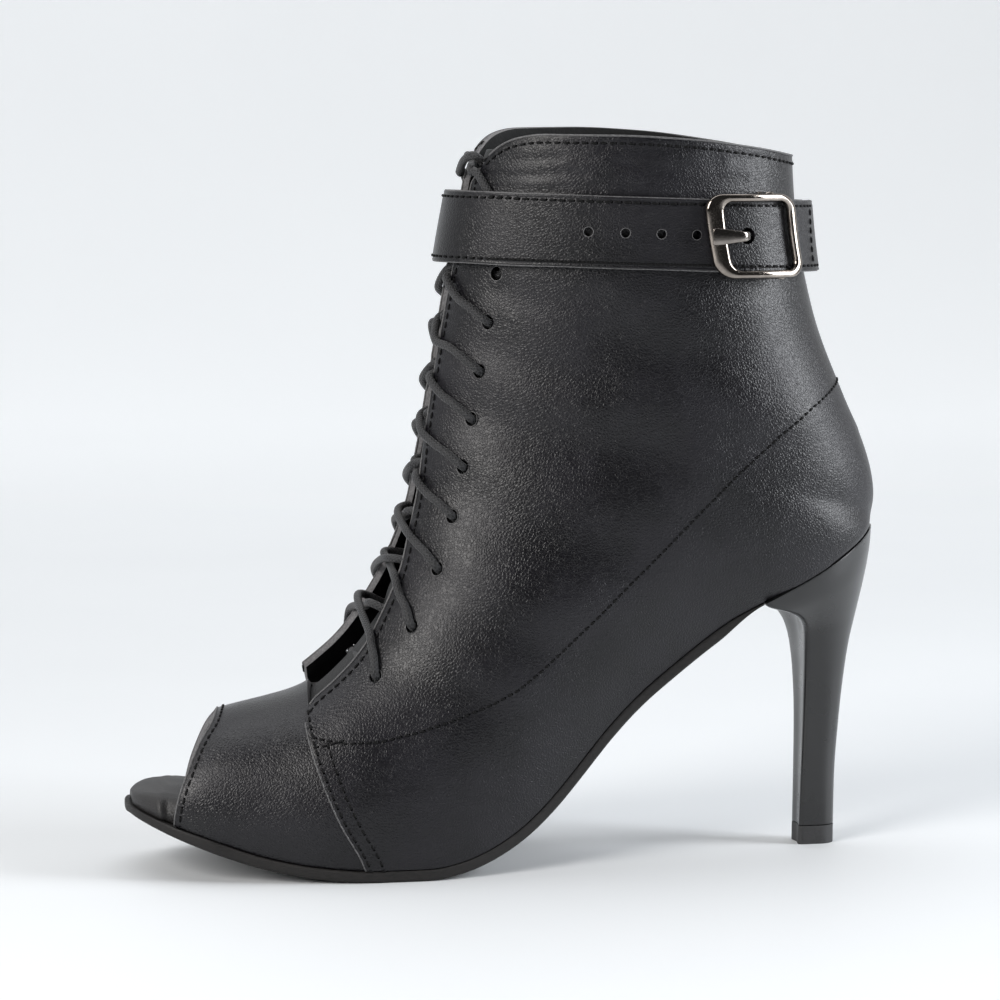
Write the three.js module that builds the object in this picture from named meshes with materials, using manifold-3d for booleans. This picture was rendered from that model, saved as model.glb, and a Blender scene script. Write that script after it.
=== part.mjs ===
// A woman's left ankle boot with an open toe, front lacing, a stiletto heel and a buckled ankle strap.
// Millimetres. The toe points to -X, the outer (lateral) side faces -Y and +Z is up.
// The origin is the middle of the flat spot under the ball of the foot, on the floor.

import * as THREE from 'three';
import { mergeVertices } from 'three/addons/utils/BufferGeometryUtils.js';
import Module from 'manifold-3d';

const wasm = await Module();
wasm.setup();

// Sizes of the last, the foot-shaped form that the boot is made on
const LAST_LENGTH = 214;      // toe to heel, measured flat along the floor
const TOE_REACH = 72.4;       // from the ball's contact point forward to the toe
const BALL_WIDTH = 73;        // widest place of the sole
const SEAT_HEIGHT = 94;       // back of the heel seat above the floor
const TOE_SPRING = 15.5;      // how far the toe lifts
const VAMP_HEIGHT = 50;       // ridge of the vamp above the floor, where the throat starts
const COLLAR_HEIGHT = 207;    // top edge of the shaft above the floor
const COLLAR_TILT = 2.1;      // degrees, the inner side of the collar stands a little higher

// Leather, sole and heel
const WALL = 1.8;             // leather and lining together
const OVERLAP_STEP = 1;       // the quarters lie this much proud of the vamp
const FLARE_LATERAL = 2.6;    // the free lower corners of the quarters stand off the vamp
const FLARE_MEDIAL = 5.2;
const FLARE_START = 4.5;      // the flare fades out from this section to the two ends
const FLARE_END_LATERAL = 8.5;
const FLARE_END_MEDIAL = 10;
const SOLE_THICKNESS = 3.2;
const SOLE_EDGE = 1.2;        // the sole's edge stands out past the last
const SOLE_END = 0.835;       // share of the last's length where the sole meets the heel
const INSOLE_THICKNESS = 6.5;
const TONGUE_THICKNESS = 1.6;
const TONGUE_DROP = 4;        // the tongue's top below the collar
const TIP_HEIGHT = 5.4;       // the rubber top piece under the heel
const STEM_WIDTH = 9.6;       // across the heel just above its top piece
const STEM_DEPTH = 11;        // front to back, at the floor
const STEM_SETBACK = 8.4;     // back of the stem at the floor, in front of the back of the seat
const HEEL_REACH = 18;        // front of the heel's top, in front of the stem
const HEEL_RAKE = 9.9;        // back of the heel's top, behind the stem

// Lacing
const EYELET_ROWS = 10;
const EYELET_PITCH = 14;      // along the front line
const FIRST_EYELET = 19;      // along the front line, from the start of the throat
const EYELET_SETBACK = 10.5;  // behind the front line, seen from the side
const EYELET_DIAMETER = 3.6;
const LACE_DIAMETER = 2.3;

// Ankle strap and buckle
const STRAP_WIDTH = 20;
const STRAP_THICKNESS = 2;
const STRAP_DROP = 29.5;      // middle of the strap below the collar, at the side
const STRAP_RISE = 3;         // it sits this much higher at the front
const STRAP_FRONT_GAP = 2.3;  // the strap stands off the lacing
const STRAP_HOLE = 2.6;
const FIRST_FREE_HOLE = 14.8;  // in front of the hole in use
const STRAP_HOLE_PITCH = 10;
const STRAP_HOLES = 4;        // free holes in front of the buckle
const BUCKLE_LENGTH = 27;
const BUCKLE_HEIGHT = 23.4;
const BUCKLE_BAR = 2.2;
const BUCKLE_FRONT_BAR = 5;
const BUCKLE_SETBACK = 42.2;  // middle of the buckle, in front of the back of the seat
const PIVOT_DIAMETER = 1.8;
const PRONG_WIDTH = 1.8;
const PRONG_HOLE = 5.2;       // the hole in use is pulled longer

// Clearance between neighbouring pieces
const FIT = 0.3;

// Places worked out from the sizes
const SEAT_BACK_X = LAST_LENGTH - TOE_REACH;
const HEEL_BACK_X = SEAT_BACK_X - STEM_SETBACK;
const BREAST_X = HEEL_BACK_X - STEM_DEPTH;
const BUCKLE_X = SEAT_BACK_X - BUCKLE_SETBACK;
const STRAP_HEIGHT = COLLAR_HEIGHT - STRAP_DROP;

// Plan of the last's bottom, as shares of its length and of the ball width
const PLAN = [
  { along: 0.12, lateral: 0.376, medial: 0.37 },
  { along: 0.18, lateral: 0.42, medial: 0.418 },
  { along: 0.24, lateral: 0.458, medial: 0.46 },
  { along: 0.3, lateral: 0.482, medial: 0.486 },
  { along: 0.37, lateral: 0.482, medial: 0.462 },
  { along: 0.43, lateral: 0.454, medial: 0.392 },
  { along: 0.5, lateral: 0.4, medial: 0.312 },
  { along: 0.56, lateral: 0.35, medial: 0.264 },
  { along: 0.63, lateral: 0.305, medial: 0.24 },
  { along: 0.7, lateral: 0.28, medial: 0.245 },
  { along: 0.78, lateral: 0.28, medial: 0.275 },
  { along: 0.83, lateral: 0.3, medial: 0.308 },
  { along: 0.885, lateral: 0.33, medial: 0.325 },
];

// Side profile of the last's bottom: toe is a share of the toe spring, heel of the rise to the seat
const PROFILE = [
  { along: 0, toe: 1, heel: 0 },
  { along: 0.05, toe: 0.77, heel: 0 },
  { along: 0.09, toe: 0.59, heel: 0 },
  { along: 0.125, toe: 0.41, heel: 0 },
  { along: 0.16, toe: 0.26, heel: 0 },
  { along: 0.195, toe: 0.15, heel: 0 },
  { along: 0.245, toe: 0.05, heel: 0 },
  { along: 0.296, toe: 0, heel: 0 },
  { along: 0.38, toe: 0, heel: 0 },
  { along: 0.42, toe: 0, heel: 0.015 },
  { along: 0.46, toe: 0, heel: 0.048 },
  { along: 0.503, toe: 0, heel: 0.106 },
  { along: 0.54, toe: 0, heel: 0.18 },
  { along: 0.58, toe: 0, heel: 0.282 },
  { along: 0.62, toe: 0, heel: 0.39 },
  { along: 0.66, toe: 0, heel: 0.484 },
  { along: 0.705, toe: 0, heel: 0.572 },
  { along: 0.75, toe: 0, heel: 0.655 },
  { along: 0.79, toe: 0, heel: 0.722 },
  { along: 0.833, toe: 0, heel: 0.778 },
  { along: 0.88, toe: 0, heel: 0.834 },
  { along: 0.92, toe: 0, heel: 0.885 },
  { along: 0.955, toe: 0, heel: 0.932 },
  { along: 1, toe: 0, heel: 1 },
];

// Sections of the last, fanned from the toe to the collar. Each runs from a base point to the front
// line: base and front are shares of the length, lift is a share of the shaft above the seat (0 lies
// on the sole) and climb a share of the way from the vamp ridge to the collar. Gap is the throat's
// half width as a share of the ball width.
const SECTIONS = [
  { base: 0.01, lift: 0, front: 0.05, climb: -0.085, gap: 0.24 },
  { base: 0.058, lift: 0, front: 0.095, climb: -0.047, gap: 0.24 },
  { base: 0.115, lift: 0, front: 0.138, climb: -0.031, gap: 0.24 },
  { base: 0.185, lift: 0, front: 0.19, climb: -0.016, gap: 0.24 },
  { base: 0.264, lift: 0, front: 0.236, climb: 0.002, gap: 0.24 },
  { base: 0.348, lift: 0, front: 0.266, climb: 0.038, gap: 0.225 },
  { base: 0.44, lift: 0, front: 0.294, climb: 0.086, gap: 0.2 },
  { base: 0.542, lift: 0, front: 0.32, climb: 0.143, gap: 0.17 },
  { base: 0.653, lift: 0, front: 0.342, climb: 0.207, gap: 0.15 },
  { base: 0.765, lift: 0, front: 0.36, climb: 0.274, gap: 0.125 },
  { base: 0.862, lift: 0, front: 0.376, climb: 0.347, gap: 0.1 },
  { base: 0.941, lift: 0, front: 0.389, climb: 0.424, gap: 0.075 },
  { base: 0.986, lift: 0, front: 0.4, climb: 0.503, gap: 0.06 },
  { base: 1.004, lift: 0.033, front: 0.409, climb: 0.57, gap: 0.052 },
  { base: 1.007, lift: 0.088, front: 0.417, climb: 0.63, gap: 0.048 },
  { base: 0.995, lift: 0.186, front: 0.425, climb: 0.694, gap: 0.05 },
  { base: 0.972, lift: 0.283, front: 0.433, climb: 0.758, gap: 0.06 },
  { base: 0.942, lift: 0.407, front: 0.441, climb: 0.822, gap: 0.075 },
  { base: 0.915, lift: 0.558, front: 0.45, climb: 0.885, gap: 0.09 },
  { base: 0.896, lift: 0.717, front: 0.458, climb: 0.949, gap: 0.1 },
  { base: 0.887, lift: 0.92, front: 0.47, climb: 1.019, gap: 0.11 },
  { base: 0.885, lift: 1.06, front: 0.477, climb: 1.07, gap: 0.11 },
];

// The same sections across the foot. The half widths are shares of the ball width. Belly is where a
// section is widest, from base to front. Crown rounds it above that and heel rounds it below: 1 is an
// open curve and 2 an ellipse.
const SECTION_WIDTHS = [
  { lateral: 0.25, medial: 0.25, belly: 0.25, crown: 2, heel: 1 },
  { lateral: 0.345, medial: 0.345, belly: 0.25, crown: 2, heel: 1 },
  { lateral: 0.392, medial: 0.39, belly: 0.25, crown: 2.05, heel: 1 },
  { lateral: 0.44, medial: 0.44, belly: 0.25, crown: 2.1, heel: 1 },
  { lateral: 0.486, medial: 0.488, belly: 0.26, crown: 2.1, heel: 1 },
  { lateral: 0.5, medial: 0.49, belly: 0.28, crown: 2.05, heel: 1 },
  { lateral: 0.488, medial: 0.455, belly: 0.33, crown: 2, heel: 1 },
  { lateral: 0.472, medial: 0.425, belly: 0.4, crown: 2, heel: 1 },
  { lateral: 0.462, medial: 0.415, belly: 0.45, crown: 2, heel: 1 },
  { lateral: 0.456, medial: 0.415, belly: 0.47, crown: 2, heel: 1 },
  { lateral: 0.45, medial: 0.42, belly: 0.47, crown: 2, heel: 1.1 },
  { lateral: 0.446, medial: 0.425, belly: 0.46, crown: 2, heel: 1.5 },
  { lateral: 0.444, medial: 0.43, belly: 0.45, crown: 2, heel: 2.1 },
  { lateral: 0.443, medial: 0.434, belly: 0.45, crown: 2, heel: 2.2 },
  { lateral: 0.443, medial: 0.436, belly: 0.45, crown: 2, heel: 2.2 },
  { lateral: 0.442, medial: 0.438, belly: 0.45, crown: 2, heel: 2.15 },
  { lateral: 0.441, medial: 0.44, belly: 0.46, crown: 2, heel: 2.1 },
  { lateral: 0.44, medial: 0.44, belly: 0.47, crown: 2, heel: 2.1 },
  { lateral: 0.438, medial: 0.438, belly: 0.48, crown: 2, heel: 2.1 },
  { lateral: 0.436, medial: 0.436, belly: 0.49, crown: 2, heel: 2.1 },
  { lateral: 0.434, medial: 0.434, belly: 0.5, crown: 2, heel: 2.1 },
  { lateral: 0.432, medial: 0.432, belly: 0.5, crown: 2, heel: 2.1 },
];
const THROAT_SECTION = 4;     // the section where the throat starts
const BACK_SECTION = 12;      // from this section on, the base climbs up the back
const LAST_SECTION = SECTIONS.length - 1;

// Toe opening, collar and the quarters' front edge, seen from the side, as shares of the last's length
// and of the collar height
const CUT_TURN = 8;           // degrees, the first two are cut further back on the inner side
const TOE_OPENING = [
  { along: 0.128, height: 0.27 },
  { along: 0.12, height: 0.218 },
  { along: 0.115, height: 0.203 },
  { along: 0.103, height: 0.186 },
  { along: 0.088, height: 0.153 },
  { along: 0.075, height: 0.115 },
  { along: 0.068, height: 0.078 },
  { along: 0.066, height: 0.03 },
];
const COLLAR = [
  { along: 0.3, height: 0.9 },
  { along: 0.44, height: 0.907 },
  { along: 0.455, height: 0.932 },
  { along: 0.466, height: 0.96 },
  { along: 0.481, height: 0.98 },
  { along: 0.503, height: 0.994 },
  { along: 0.535, height: 1 },
  { along: 0.62, height: 1 },
  { along: 0.72, height: 0.995 },
  { along: 0.82, height: 0.982 },
  { along: 0.9, height: 0.966 },
  { along: 1.05, height: 0.94 },
];
const QUARTER_EDGE = [
  { along: 0.23, height: 0.45 },
  { along: 0.231, height: 0.26 },
  { along: 0.24, height: 0.2 },
  { along: 0.259, height: 0.14 },
  { along: 0.284, height: 0.08 },
  { along: 0.315, height: 0.02 },
  { along: 0.328, height: -0.05 },
];
const VAMP_UNDERLAP = 0.042;  // the vamp runs this share of the length on under the quarters

// Slices of the heel from the floor up. Low and high are the heights of its breast and of its back,
// as shares of the seat height. Front is a share of the heel's reach, back a share of its rake, and
// width a multiple of the stem's.
const HEEL_SLICES = [
  { low: 0, high: 0, front: -0.017, back: 0, width: 0.96 },
  { low: 0.2, high: 0.2, front: 0.006, back: 0.02, width: 1.1 },
  { low: 0.42, high: 0.42, front: 0.022, back: 0.162, width: 1.36 },
  { low: 0.54, high: 0.54, front: 0.011, back: 0.283, width: 1.68 },
  { low: 0.625, high: 0.63, front: -0.017, back: 0.404, width: 2.12 },
  { low: 0.68, high: 0.7, front: -0.067, back: 0.535, width: 2.7 },
  { low: 0.715, high: 0.765, front: -0.161, back: 0.657, width: 3.4 },
  { low: 0.74, high: 0.83, front: -0.317, back: 0.778, width: 4.1 },
  { low: 0.758, high: 0.895, front: -0.556, back: 0.889, width: 4.75 },
  { low: 0.775, high: 0.955, front: -0.844, back: 0.97, width: 5.15 },
  { low: 0.82, high: 1.02, front: -1, back: 1, width: 5.28 },
];

// Interpolation

function clamp(value, low, high) {
  return Math.min(high, Math.max(low, value));
}

function ease(low, high, value) {
  const x = clamp((value - low) / (high - low), 0, 1);
  return x * x * (3 - 2 * x);
}

// A smooth curve through the points that never overshoots them, so equal neighbours stay level
function smoothCurve(xs, ys) {
  const steps = xs.slice(1).map((x, i) => (ys[i + 1] - ys[i]) / (x - xs[i]));
  const slopes = ys.map((_, i) => {
    if (i === 0) return steps[0];
    if (i === ys.length - 1) return steps[i - 1];
    const product = steps[i - 1] * steps[i];
    return product <= 0 ? 0 : (2 * product) / (steps[i - 1] + steps[i]);
  });
  return (value) => {
    const x = clamp(value, xs[0], xs[xs.length - 1]);
    let i = 0;
    while (i < xs.length - 2 && x > xs[i + 1]) i += 1;
    const h = xs[i + 1] - xs[i];
    const s = (x - xs[i]) / h;
    const a = 2 * s ** 3 - 3 * s ** 2 + 1;
    const b = s ** 3 - 2 * s ** 2 + s;
    const c = -2 * s ** 3 + 3 * s ** 2;
    const d = s ** 3 - s ** 2;
    return a * ys[i] + b * h * slopes[i] + c * ys[i + 1] + d * h * slopes[i + 1];
  };
}

function column(rows, name, key) {
  const xs = key ? rows.map((row) => row[key]) : rows.map((_, i) => i);
  return smoothCurve(xs, rows.map((row) => row[name]));
}

// The last

const planLateral = column(PLAN, 'lateral', 'along');
const planMedial = column(PLAN, 'medial', 'along');
const toeRise = column(PROFILE, 'toe', 'along');
const heelRise = column(PROFILE, 'heel', 'along');
const TOE_CAP = PLAN[0].along;
const HEEL_CAP = PLAN[PLAN.length - 1].along;

function alongToX(along) {
  return along * LAST_LENGTH - TOE_REACH;
}

// Half width of the last's bottom on one side (-1 lateral, 1 medial), grown by an even margin
function planWidth(along, side, margin = 0) {
  const grown = margin / LAST_LENGTH;
  const width = (side < 0 ? planLateral(along) : planMedial(along)) * BALL_WIDTH + margin;
  const toe = (TOE_CAP - along) / (TOE_CAP + grown);
  const heel = (along - HEEL_CAP) / (1 - HEEL_CAP + grown);
  const past = Math.max(toe, heel, 0);
  return width * Math.sqrt(Math.max(0, 1 - past * past));
}

// Height of the last's bottom, which is also the top of the sole
function bottomHeight(along) {
  const share = clamp(along, 0, 1);
  return SOLE_THICKNESS + toeRise(share) * TOE_SPRING + heelRise(share) * (SEAT_HEIGHT - SOLE_THICKNESS);
}

function columns(rows) {
  return Object.fromEntries(Object.keys(rows[0]).map((name) => [name, column(rows, name)]));
}

const section = { ...columns(SECTIONS), ...columns(SECTION_WIDTHS) };
const FRONT_SHARE = 0.56;     // share of a section's points that go to its rounded front
const BACK_FLAT = 3;          // half width of the back, where the two sides meet

// 1 where a section stands on the sole, 0 where it starts on the back of the shaft
function onSole(v) {
  return 1 - ease(0.012, 0.04, section.lift(v));
}

function basePoint(v) {
  const along = section.base(v);
  const lift = section.lift(v);
  const ground = bottomHeight(along);
  const start = ground + (SEAT_HEIGHT - ground) * (1 - onSole(v));
  return new THREE.Vector3(alongToX(along), 0, start + lift * (COLLAR_HEIGHT - SEAT_HEIGHT));
}

function frontPoint(v) {
  const height = VAMP_HEIGHT + section.climb(v) * (COLLAR_HEIGHT - VAMP_HEIGHT);
  return new THREE.Vector3(alongToX(section.front(v)), 0, height);
}

// A point on the last: v runs over the sections, u from -1 (lateral base) over 0 (front) to 1 (medial base)
function lastPoint(v, u) {
  const side = u < 0 ? -1 : 1;
  const belly = section.belly(v);
  const widest = (side < 0 ? section.lateral(v) : section.medial(v)) * BALL_WIDTH;
  const angle = Math.abs(u) / FRONT_SHARE * Math.PI / 2;
  let share;
  let width;
  if (Math.abs(u) <= FRONT_SHARE) {
    const round = 2 / section.crown(v);
    share = belly + (1 - belly) * Math.cos(angle) ** round;
    width = widest * Math.sin(angle) ** round;
  } else {
    const down = Math.sin((Math.abs(u) - FRONT_SHARE) / (1 - FRONT_SHARE) * Math.PI / 2);
    const foot = Math.max(BACK_FLAT, planWidth(section.base(v), side) * onSole(v));
    share = belly * (1 - down);
    width = foot + (widest - foot) * Math.max(0, 1 - down * down) ** (1 / section.heel(v));
  }
  const point = basePoint(v).lerp(frontPoint(v), share);
  point.y = side * width;
  return point;
}

function lastNormal(v, u) {
  const step = 0.02;
  const inside = clamp(Math.abs(u), 0, 0.995) * Math.sign(u);
  const alongV = lastPoint(Math.min(v + step, LAST_SECTION), inside);
  alongV.sub(lastPoint(Math.max(v - step, 0), inside));
  const alongU = lastPoint(v, Math.min(inside + step / 4, 1));
  alongU.sub(lastPoint(v, Math.max(inside - step / 4, -1)));
  return alongV.cross(alongU).normalize();
}

// The last's surface moved outwards by an offset
function shellPoint(v, u, offset) {
  return lastPoint(v, u).addScaledVector(lastNormal(v, u), offset);
}

// How far the quarters' outer face lies off the last: an even step, and the flared lower corners
function quarterOffset(v, u) {
  const flare = u < 0 ? FLARE_LATERAL : FLARE_MEDIAL;
  const end = u < 0 ? FLARE_END_LATERAL : FLARE_END_MEDIAL;
  const lower = 1 - ease(FLARE_START, end, v);
  const front = 1 - ease(0.22, 0.5, Math.abs(u));
  return OVERLAP_STEP + flare * lower * front;
}

// Solids

function solidFrom(geometry) {
  const bare = geometry.clone();
  bare.deleteAttribute('normal');
  bare.deleteAttribute('uv');
  const merged = mergeVertices(bare, 1e-4);
  const triVerts = new Uint32Array(merged.index.array);
  const vertProperties = new Float32Array(merged.attributes.position.array);
  return new wasm.Manifold(new wasm.Mesh({ numProp: 3, vertProperties, triVerts }));
}

function geometryFrom(solid) {
  const mesh = solid.getMesh();
  const geometry = new THREE.BufferGeometry();
  geometry.setAttribute('position', new THREE.BufferAttribute(new Float32Array(mesh.vertProperties), 3));
  geometry.setIndex(new THREE.BufferAttribute(new Uint32Array(mesh.triVerts), 1));
  return geometry;
}

function signedVolume(points, faces) {
  let sum = 0;
  for (const [a, b, c] of faces) sum += points[a].dot(points[b].clone().cross(points[c])) / 6;
  return sum;
}

// A closed skin over rings of equal length, with a fan over each end
function loft(rings) {
  const count = rings[0].length;
  const points = rings.flat();
  const faces = [];
  for (let i = 0; i < rings.length - 1; i += 1) {
    for (let j = 0; j < count; j += 1) {
      const a = i * count + j;
      const b = i * count + (j + 1) % count;
      faces.push([a, b, b + count], [a, b + count, a + count]);
    }
  }
  for (const [ring, flip] of [[0, true], [rings.length - 1, false]]) {
    const centre = new THREE.Vector3();
    for (const point of rings[ring]) centre.addScaledVector(point, 1 / count);
    const middle = points.push(centre) - 1;
    for (let j = 0; j < count; j += 1) {
      const a = ring * count + j;
      const b = ring * count + (j + 1) % count;
      faces.push(flip ? [middle, b, a] : [middle, a, b]);
    }
  }
  const outward = signedVolume(points, faces) > 0;
  const geometry = new THREE.BufferGeometry();
  geometry.setFromPoints(points);
  geometry.setIndex(faces.flatMap(([a, b, c]) => (outward ? [a, b, c] : [a, c, b])));
  return solidFrom(geometry);
}

const HALF_SPACE = BALL_WIDTH;              // cutters reach this far to each side
const AHEAD = alongToX(-0.3);               // well in front of the toe
const BEHIND = alongToX(1.3);               // well behind the heel
const OVERHEAD = COLLAR_HEIGHT * 1.3;
const UNDERGROUND = -COLLAR_HEIGHT * 0.2;

// A block with a side-view outline of [x, z] pairs, centred across the boot
function sideBlock(outline) {
  const shape = new THREE.Shape(outline.map(([x, z]) => new THREE.Vector2(x, z)));
  const geometry = new THREE.ExtrudeGeometry(shape, { depth: 2 * HALF_SPACE, bevelEnabled: false });
  geometry.rotateX(Math.PI / 2).translate(0, HALF_SPACE, 0);
  return solidFrom(geometry);
}

function sideOutline(rows) {
  return rows.map((row) => [alongToX(row.along), row.height * COLLAR_HEIGHT]);
}

function steps(first, last, count) {
  return Array.from({ length: count + 1 }, (_, i) => first + (last - first) * i / count);
}

// Upper

const AROUND = 11;            // points on each side of a section
const RINGS_PER_SECTION = 1.8;
const EDGE_BELOW = 1.5;       // an outer skin runs this far below the last, to be cut at the sole
const BELOW = 8;              // how far a cutter or an inner skin runs past an edge
const VAMP_RANGE = [0, 8];    // sections
const QUARTER_RANGE = [2.5, LAST_SECTION];

function lastSolid(first, last, offsetAt, belowEdge) {
  const rings = steps(first, last, Math.round((last - first) * RINGS_PER_SECTION)).map((v) => {
    const drop = belowEdge * (1 - ease(BACK_SECTION - 0.5, BACK_SECTION + 0.9, v));
    return steps(-1, 1, AROUND * 2).map((u) => {
      const point = shellPoint(v, u, offsetAt(v, u));
      if (Math.abs(u) === 1) point.z -= drop;
      return point;
    });
  });
  return loft(rings);
}

// Everything below the top of the sole
function underSole(clearance) {
  const line = steps(0, 1, 42).map((along) => [alongToX(along), bottomHeight(along) + clearance]);
  const toe = [AHEAD, line[0][1]];
  const heel = [BEHIND, line[line.length - 1][1]];
  return sideBlock([toe, ...line, heel, [BEHIND, UNDERGROUND], [AHEAD, UNDERGROUND]]);
}

function toeOpeningBlock() {
  const edge = sideOutline(TOE_OPENING);
  const block = sideBlock([[AHEAD, edge[0][1]], ...edge, [AHEAD, edge[edge.length - 1][1]]]);
  return block.rotate([0, 0, -CUT_TURN]);
}

function aboveCollar() {
  const edge = sideOutline(COLLAR);
  const block = sideBlock([...edge, [edge[edge.length - 1][0], OVERHEAD], [edge[0][0], OVERHEAD]]);
  return block.translate([0, 0, -COLLAR_HEIGHT]).rotate([COLLAR_TILT, 0, 0]).translate([0, 0, COLLAR_HEIGHT]);
}

function behindQuarterEdge(shift) {
  const edge = sideOutline(QUARTER_EDGE).map(([x, z]) => [x + shift, z]);
  const bottom = edge[edge.length - 1][1];
  const block = sideBlock([...edge, [BEHIND, bottom], [BEHIND, OVERHEAD], [edge[0][0], OVERHEAD]]);
  return block.rotate([0, 0, -CUT_TURN]);
}

// The open throat between the two facings, as a wedge through the front wall
function throatBlock() {
  const rings = steps(THROAT_SECTION - 1.5, LAST_SECTION, 40).map((v) => {
    const front = frontPoint(v);
    const inward = basePoint(v).sub(front).normalize();
    const length = basePoint(v).distanceTo(front) * (1 - section.belly(v));
    const half = section.gap(v) * BALL_WIDTH;
    const widest = Math.min(section.lateral(v), section.medial(v)) * BALL_WIDTH;
    const depth = length * (1 - Math.sqrt(1 - (half / widest) ** 2)) + WALL + BELOW / 2;
    return [[-1, -2 * BELOW], [1, -2 * BELOW], [1, depth], [-1, depth]].map(([side, reach]) => {
      const point = front.clone().addScaledVector(inward, reach);
      point.y = side * half;
      return point;
    });
  });
  return loft(rings);
}

// Distance along the front line, from the start of the throat, turned into a section number
function sectionAtFront(distance) {
  let v = THROAT_SECTION;
  let walked = 0;
  let point = frontPoint(v);
  while (walked < distance && v < LAST_SECTION) {
    v += 0.01;
    const next = frontPoint(v);
    walked += next.distanceTo(point);
    point = next;
  }
  return v;
}

// The section whose front lies at a given height
function sectionAtHeight(height) {
  let v = THROAT_SECTION;
  while (frontPoint(v).z < height && v < LAST_SECTION) v += 0.01;
  return v;
}

// Where a lace hole lies around its section
function eyeletTurn(v) {
  const length = basePoint(v).distanceTo(frontPoint(v)) * (1 - section.belly(v));
  const angle = Math.acos(clamp(1 - EYELET_SETBACK / length, 0, 1) ** (section.crown(v) / 2));
  return angle / (Math.PI / 2) * FRONT_SHARE;
}

function gapTurn(v, extra) {
  const widest = Math.min(section.lateral(v), section.medial(v)) * BALL_WIDTH;
  const half = section.gap(v) * BALL_WIDTH + extra;
  const angle = Math.asin(clamp(half / widest, 0, 1) ** (section.crown(v) / 2));
  return angle / (Math.PI / 2) * FRONT_SHARE;
}

function eyeletSection(row) {
  return sectionAtFront(FIRST_EYELET + row * EYELET_PITCH);
}

const eyeletSections = Array.from({ length: EYELET_ROWS }, (_, row) => eyeletSection(row));

function pinAt(point, direction, diameter, length, sides = 6) {
  const geometry = new THREE.CylinderGeometry(diameter / 2, diameter / 2, length, sides);
  const turn = new THREE.Quaternion().setFromUnitVectors(new THREE.Vector3(0, 1, 0), direction);
  geometry.applyQuaternion(turn).translate(point.x, point.y, point.z);
  return solidFrom(geometry);
}

function eyeletPins() {
  return eyeletSections.flatMap((v) => [-1, 1].map((side) => {
    const u = side * eyeletTurn(v);
    const point = shellPoint(v, u, quarterOffset(v, u) - WALL / 2);
    return pinAt(point, lastNormal(v, u), EYELET_DIAMETER, WALL * 4);
  }));
}

function makeUpper() {
  const vamp = lastSolid(...VAMP_RANGE, () => 0, EDGE_BELOW)
    .subtract(lastSolid(...VAMP_RANGE, () => -WALL, BELOW))
    .subtract(behindQuarterEdge(VAMP_UNDERLAP * LAST_LENGTH))
    .subtract(toeOpeningBlock());
  const quarters = lastSolid(...QUARTER_RANGE, quarterOffset, EDGE_BELOW)
    .subtract(lastSolid(...QUARTER_RANGE, (v, u) => quarterOffset(v, u) - WALL, BELOW))
    .intersect(behindQuarterEdge(0))
    .subtract(throatBlock());
  let upper = vamp.add(quarters).subtract(underSole(FIT)).subtract(aboveCollar());
  for (const pin of eyeletPins()) upper = upper.subtract(pin);
  return upper;
}

// Tongue, a curved sheet behind the lacing, sewn under the vamp

const TONGUE_UNDER_VAMP = 0.9;    // sections in front of the start of the throat
const TONGUE_SPREAD = 0.32;       // share of a section's half girth that the tongue covers
const TONGUE_TOP_ROUNDING = 0.05;

function tongueOffset(v) {
  const sewn = -WALL - 2 * FIT;
  const behindLaces = -WALL - FIT;
  return sewn + (behindLaces - sewn) * ease(THROAT_SECTION + 1.5, THROAT_SECTION + 5, v);
}

function makeTongue() {
  const top = sectionAtHeight(COLLAR_HEIGHT - TONGUE_DROP);
  const turns = steps(-1, 1, 8);
  const rings = steps(THROAT_SECTION - TONGUE_UNDER_VAMP, top, 18).map((v) => {
    const half = TONGUE_SPREAD - TONGUE_TOP_ROUNDING * ease(top - 1.2, top, v);
    const outer = turns.map((turn) => shellPoint(v, turn * half, tongueOffset(v)));
    const inner = turns.map((turn) => shellPoint(v, turn * half, tongueOffset(v) - TONGUE_THICKNESS));
    return [...outer, ...inner.reverse()];
  });
  return loft(rings).subtract(underSole(FIT));
}

// Outsole and insole

function endSteps(first, last, count) {
  return steps(0, Math.PI, count).map((angle) => first + (last - first) * (1 - Math.cos(angle)) / 2);
}

// A plate that follows the last's bottom, with one ring of edge points for each place along it
function plate(first, last, count, ringAt) {
  return loft(endSteps(first, last, count).map(ringAt));
}

function slopeFactor(along) {
  const run = 0.004;
  const rise = bottomHeight(along + run) - bottomHeight(along - run);
  return Math.hypot(1, rise / (2 * run * LAST_LENGTH));
}

const SOLE_BEVEL = SOLE_THICKNESS * 0.25;
const SOLE_THIN_FROM = SOLE_END - 0.06;   // the sole thins out towards the heel from here
const SOLE_THIN_SHARE = 0.75;

function makeOutsole() {
  const ringAt = (along) => {
    const taper = 1 - SOLE_THIN_SHARE * ease(SOLE_THIN_FROM, SOLE_END, along);
    const top = bottomHeight(along);
    const bottom = top - SOLE_THICKNESS * slopeFactor(along) * taper;
    const bevel = SOLE_BEVEL * taper;
    const corner = (side, inset, z) => {
      const half = Math.max(0.5, planWidth(along, side, SOLE_EDGE) - inset);
      return new THREE.Vector3(alongToX(along), side * half, z);
    };
    const side = (sign) => [
      corner(sign, FIT, top),
      corner(sign, 0, top - bevel),
      corner(sign, 0, bottom + bevel),
      corner(sign, SOLE_BEVEL, bottom),
    ];
    return [...side(-1), ...side(1).reverse()];
  };
  const toeTip = -SOLE_EDGE / LAST_LENGTH + 0.0008;
  return plate(toeTip, SOLE_END, 26, ringAt).intersect(underSole(0));
}

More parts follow.
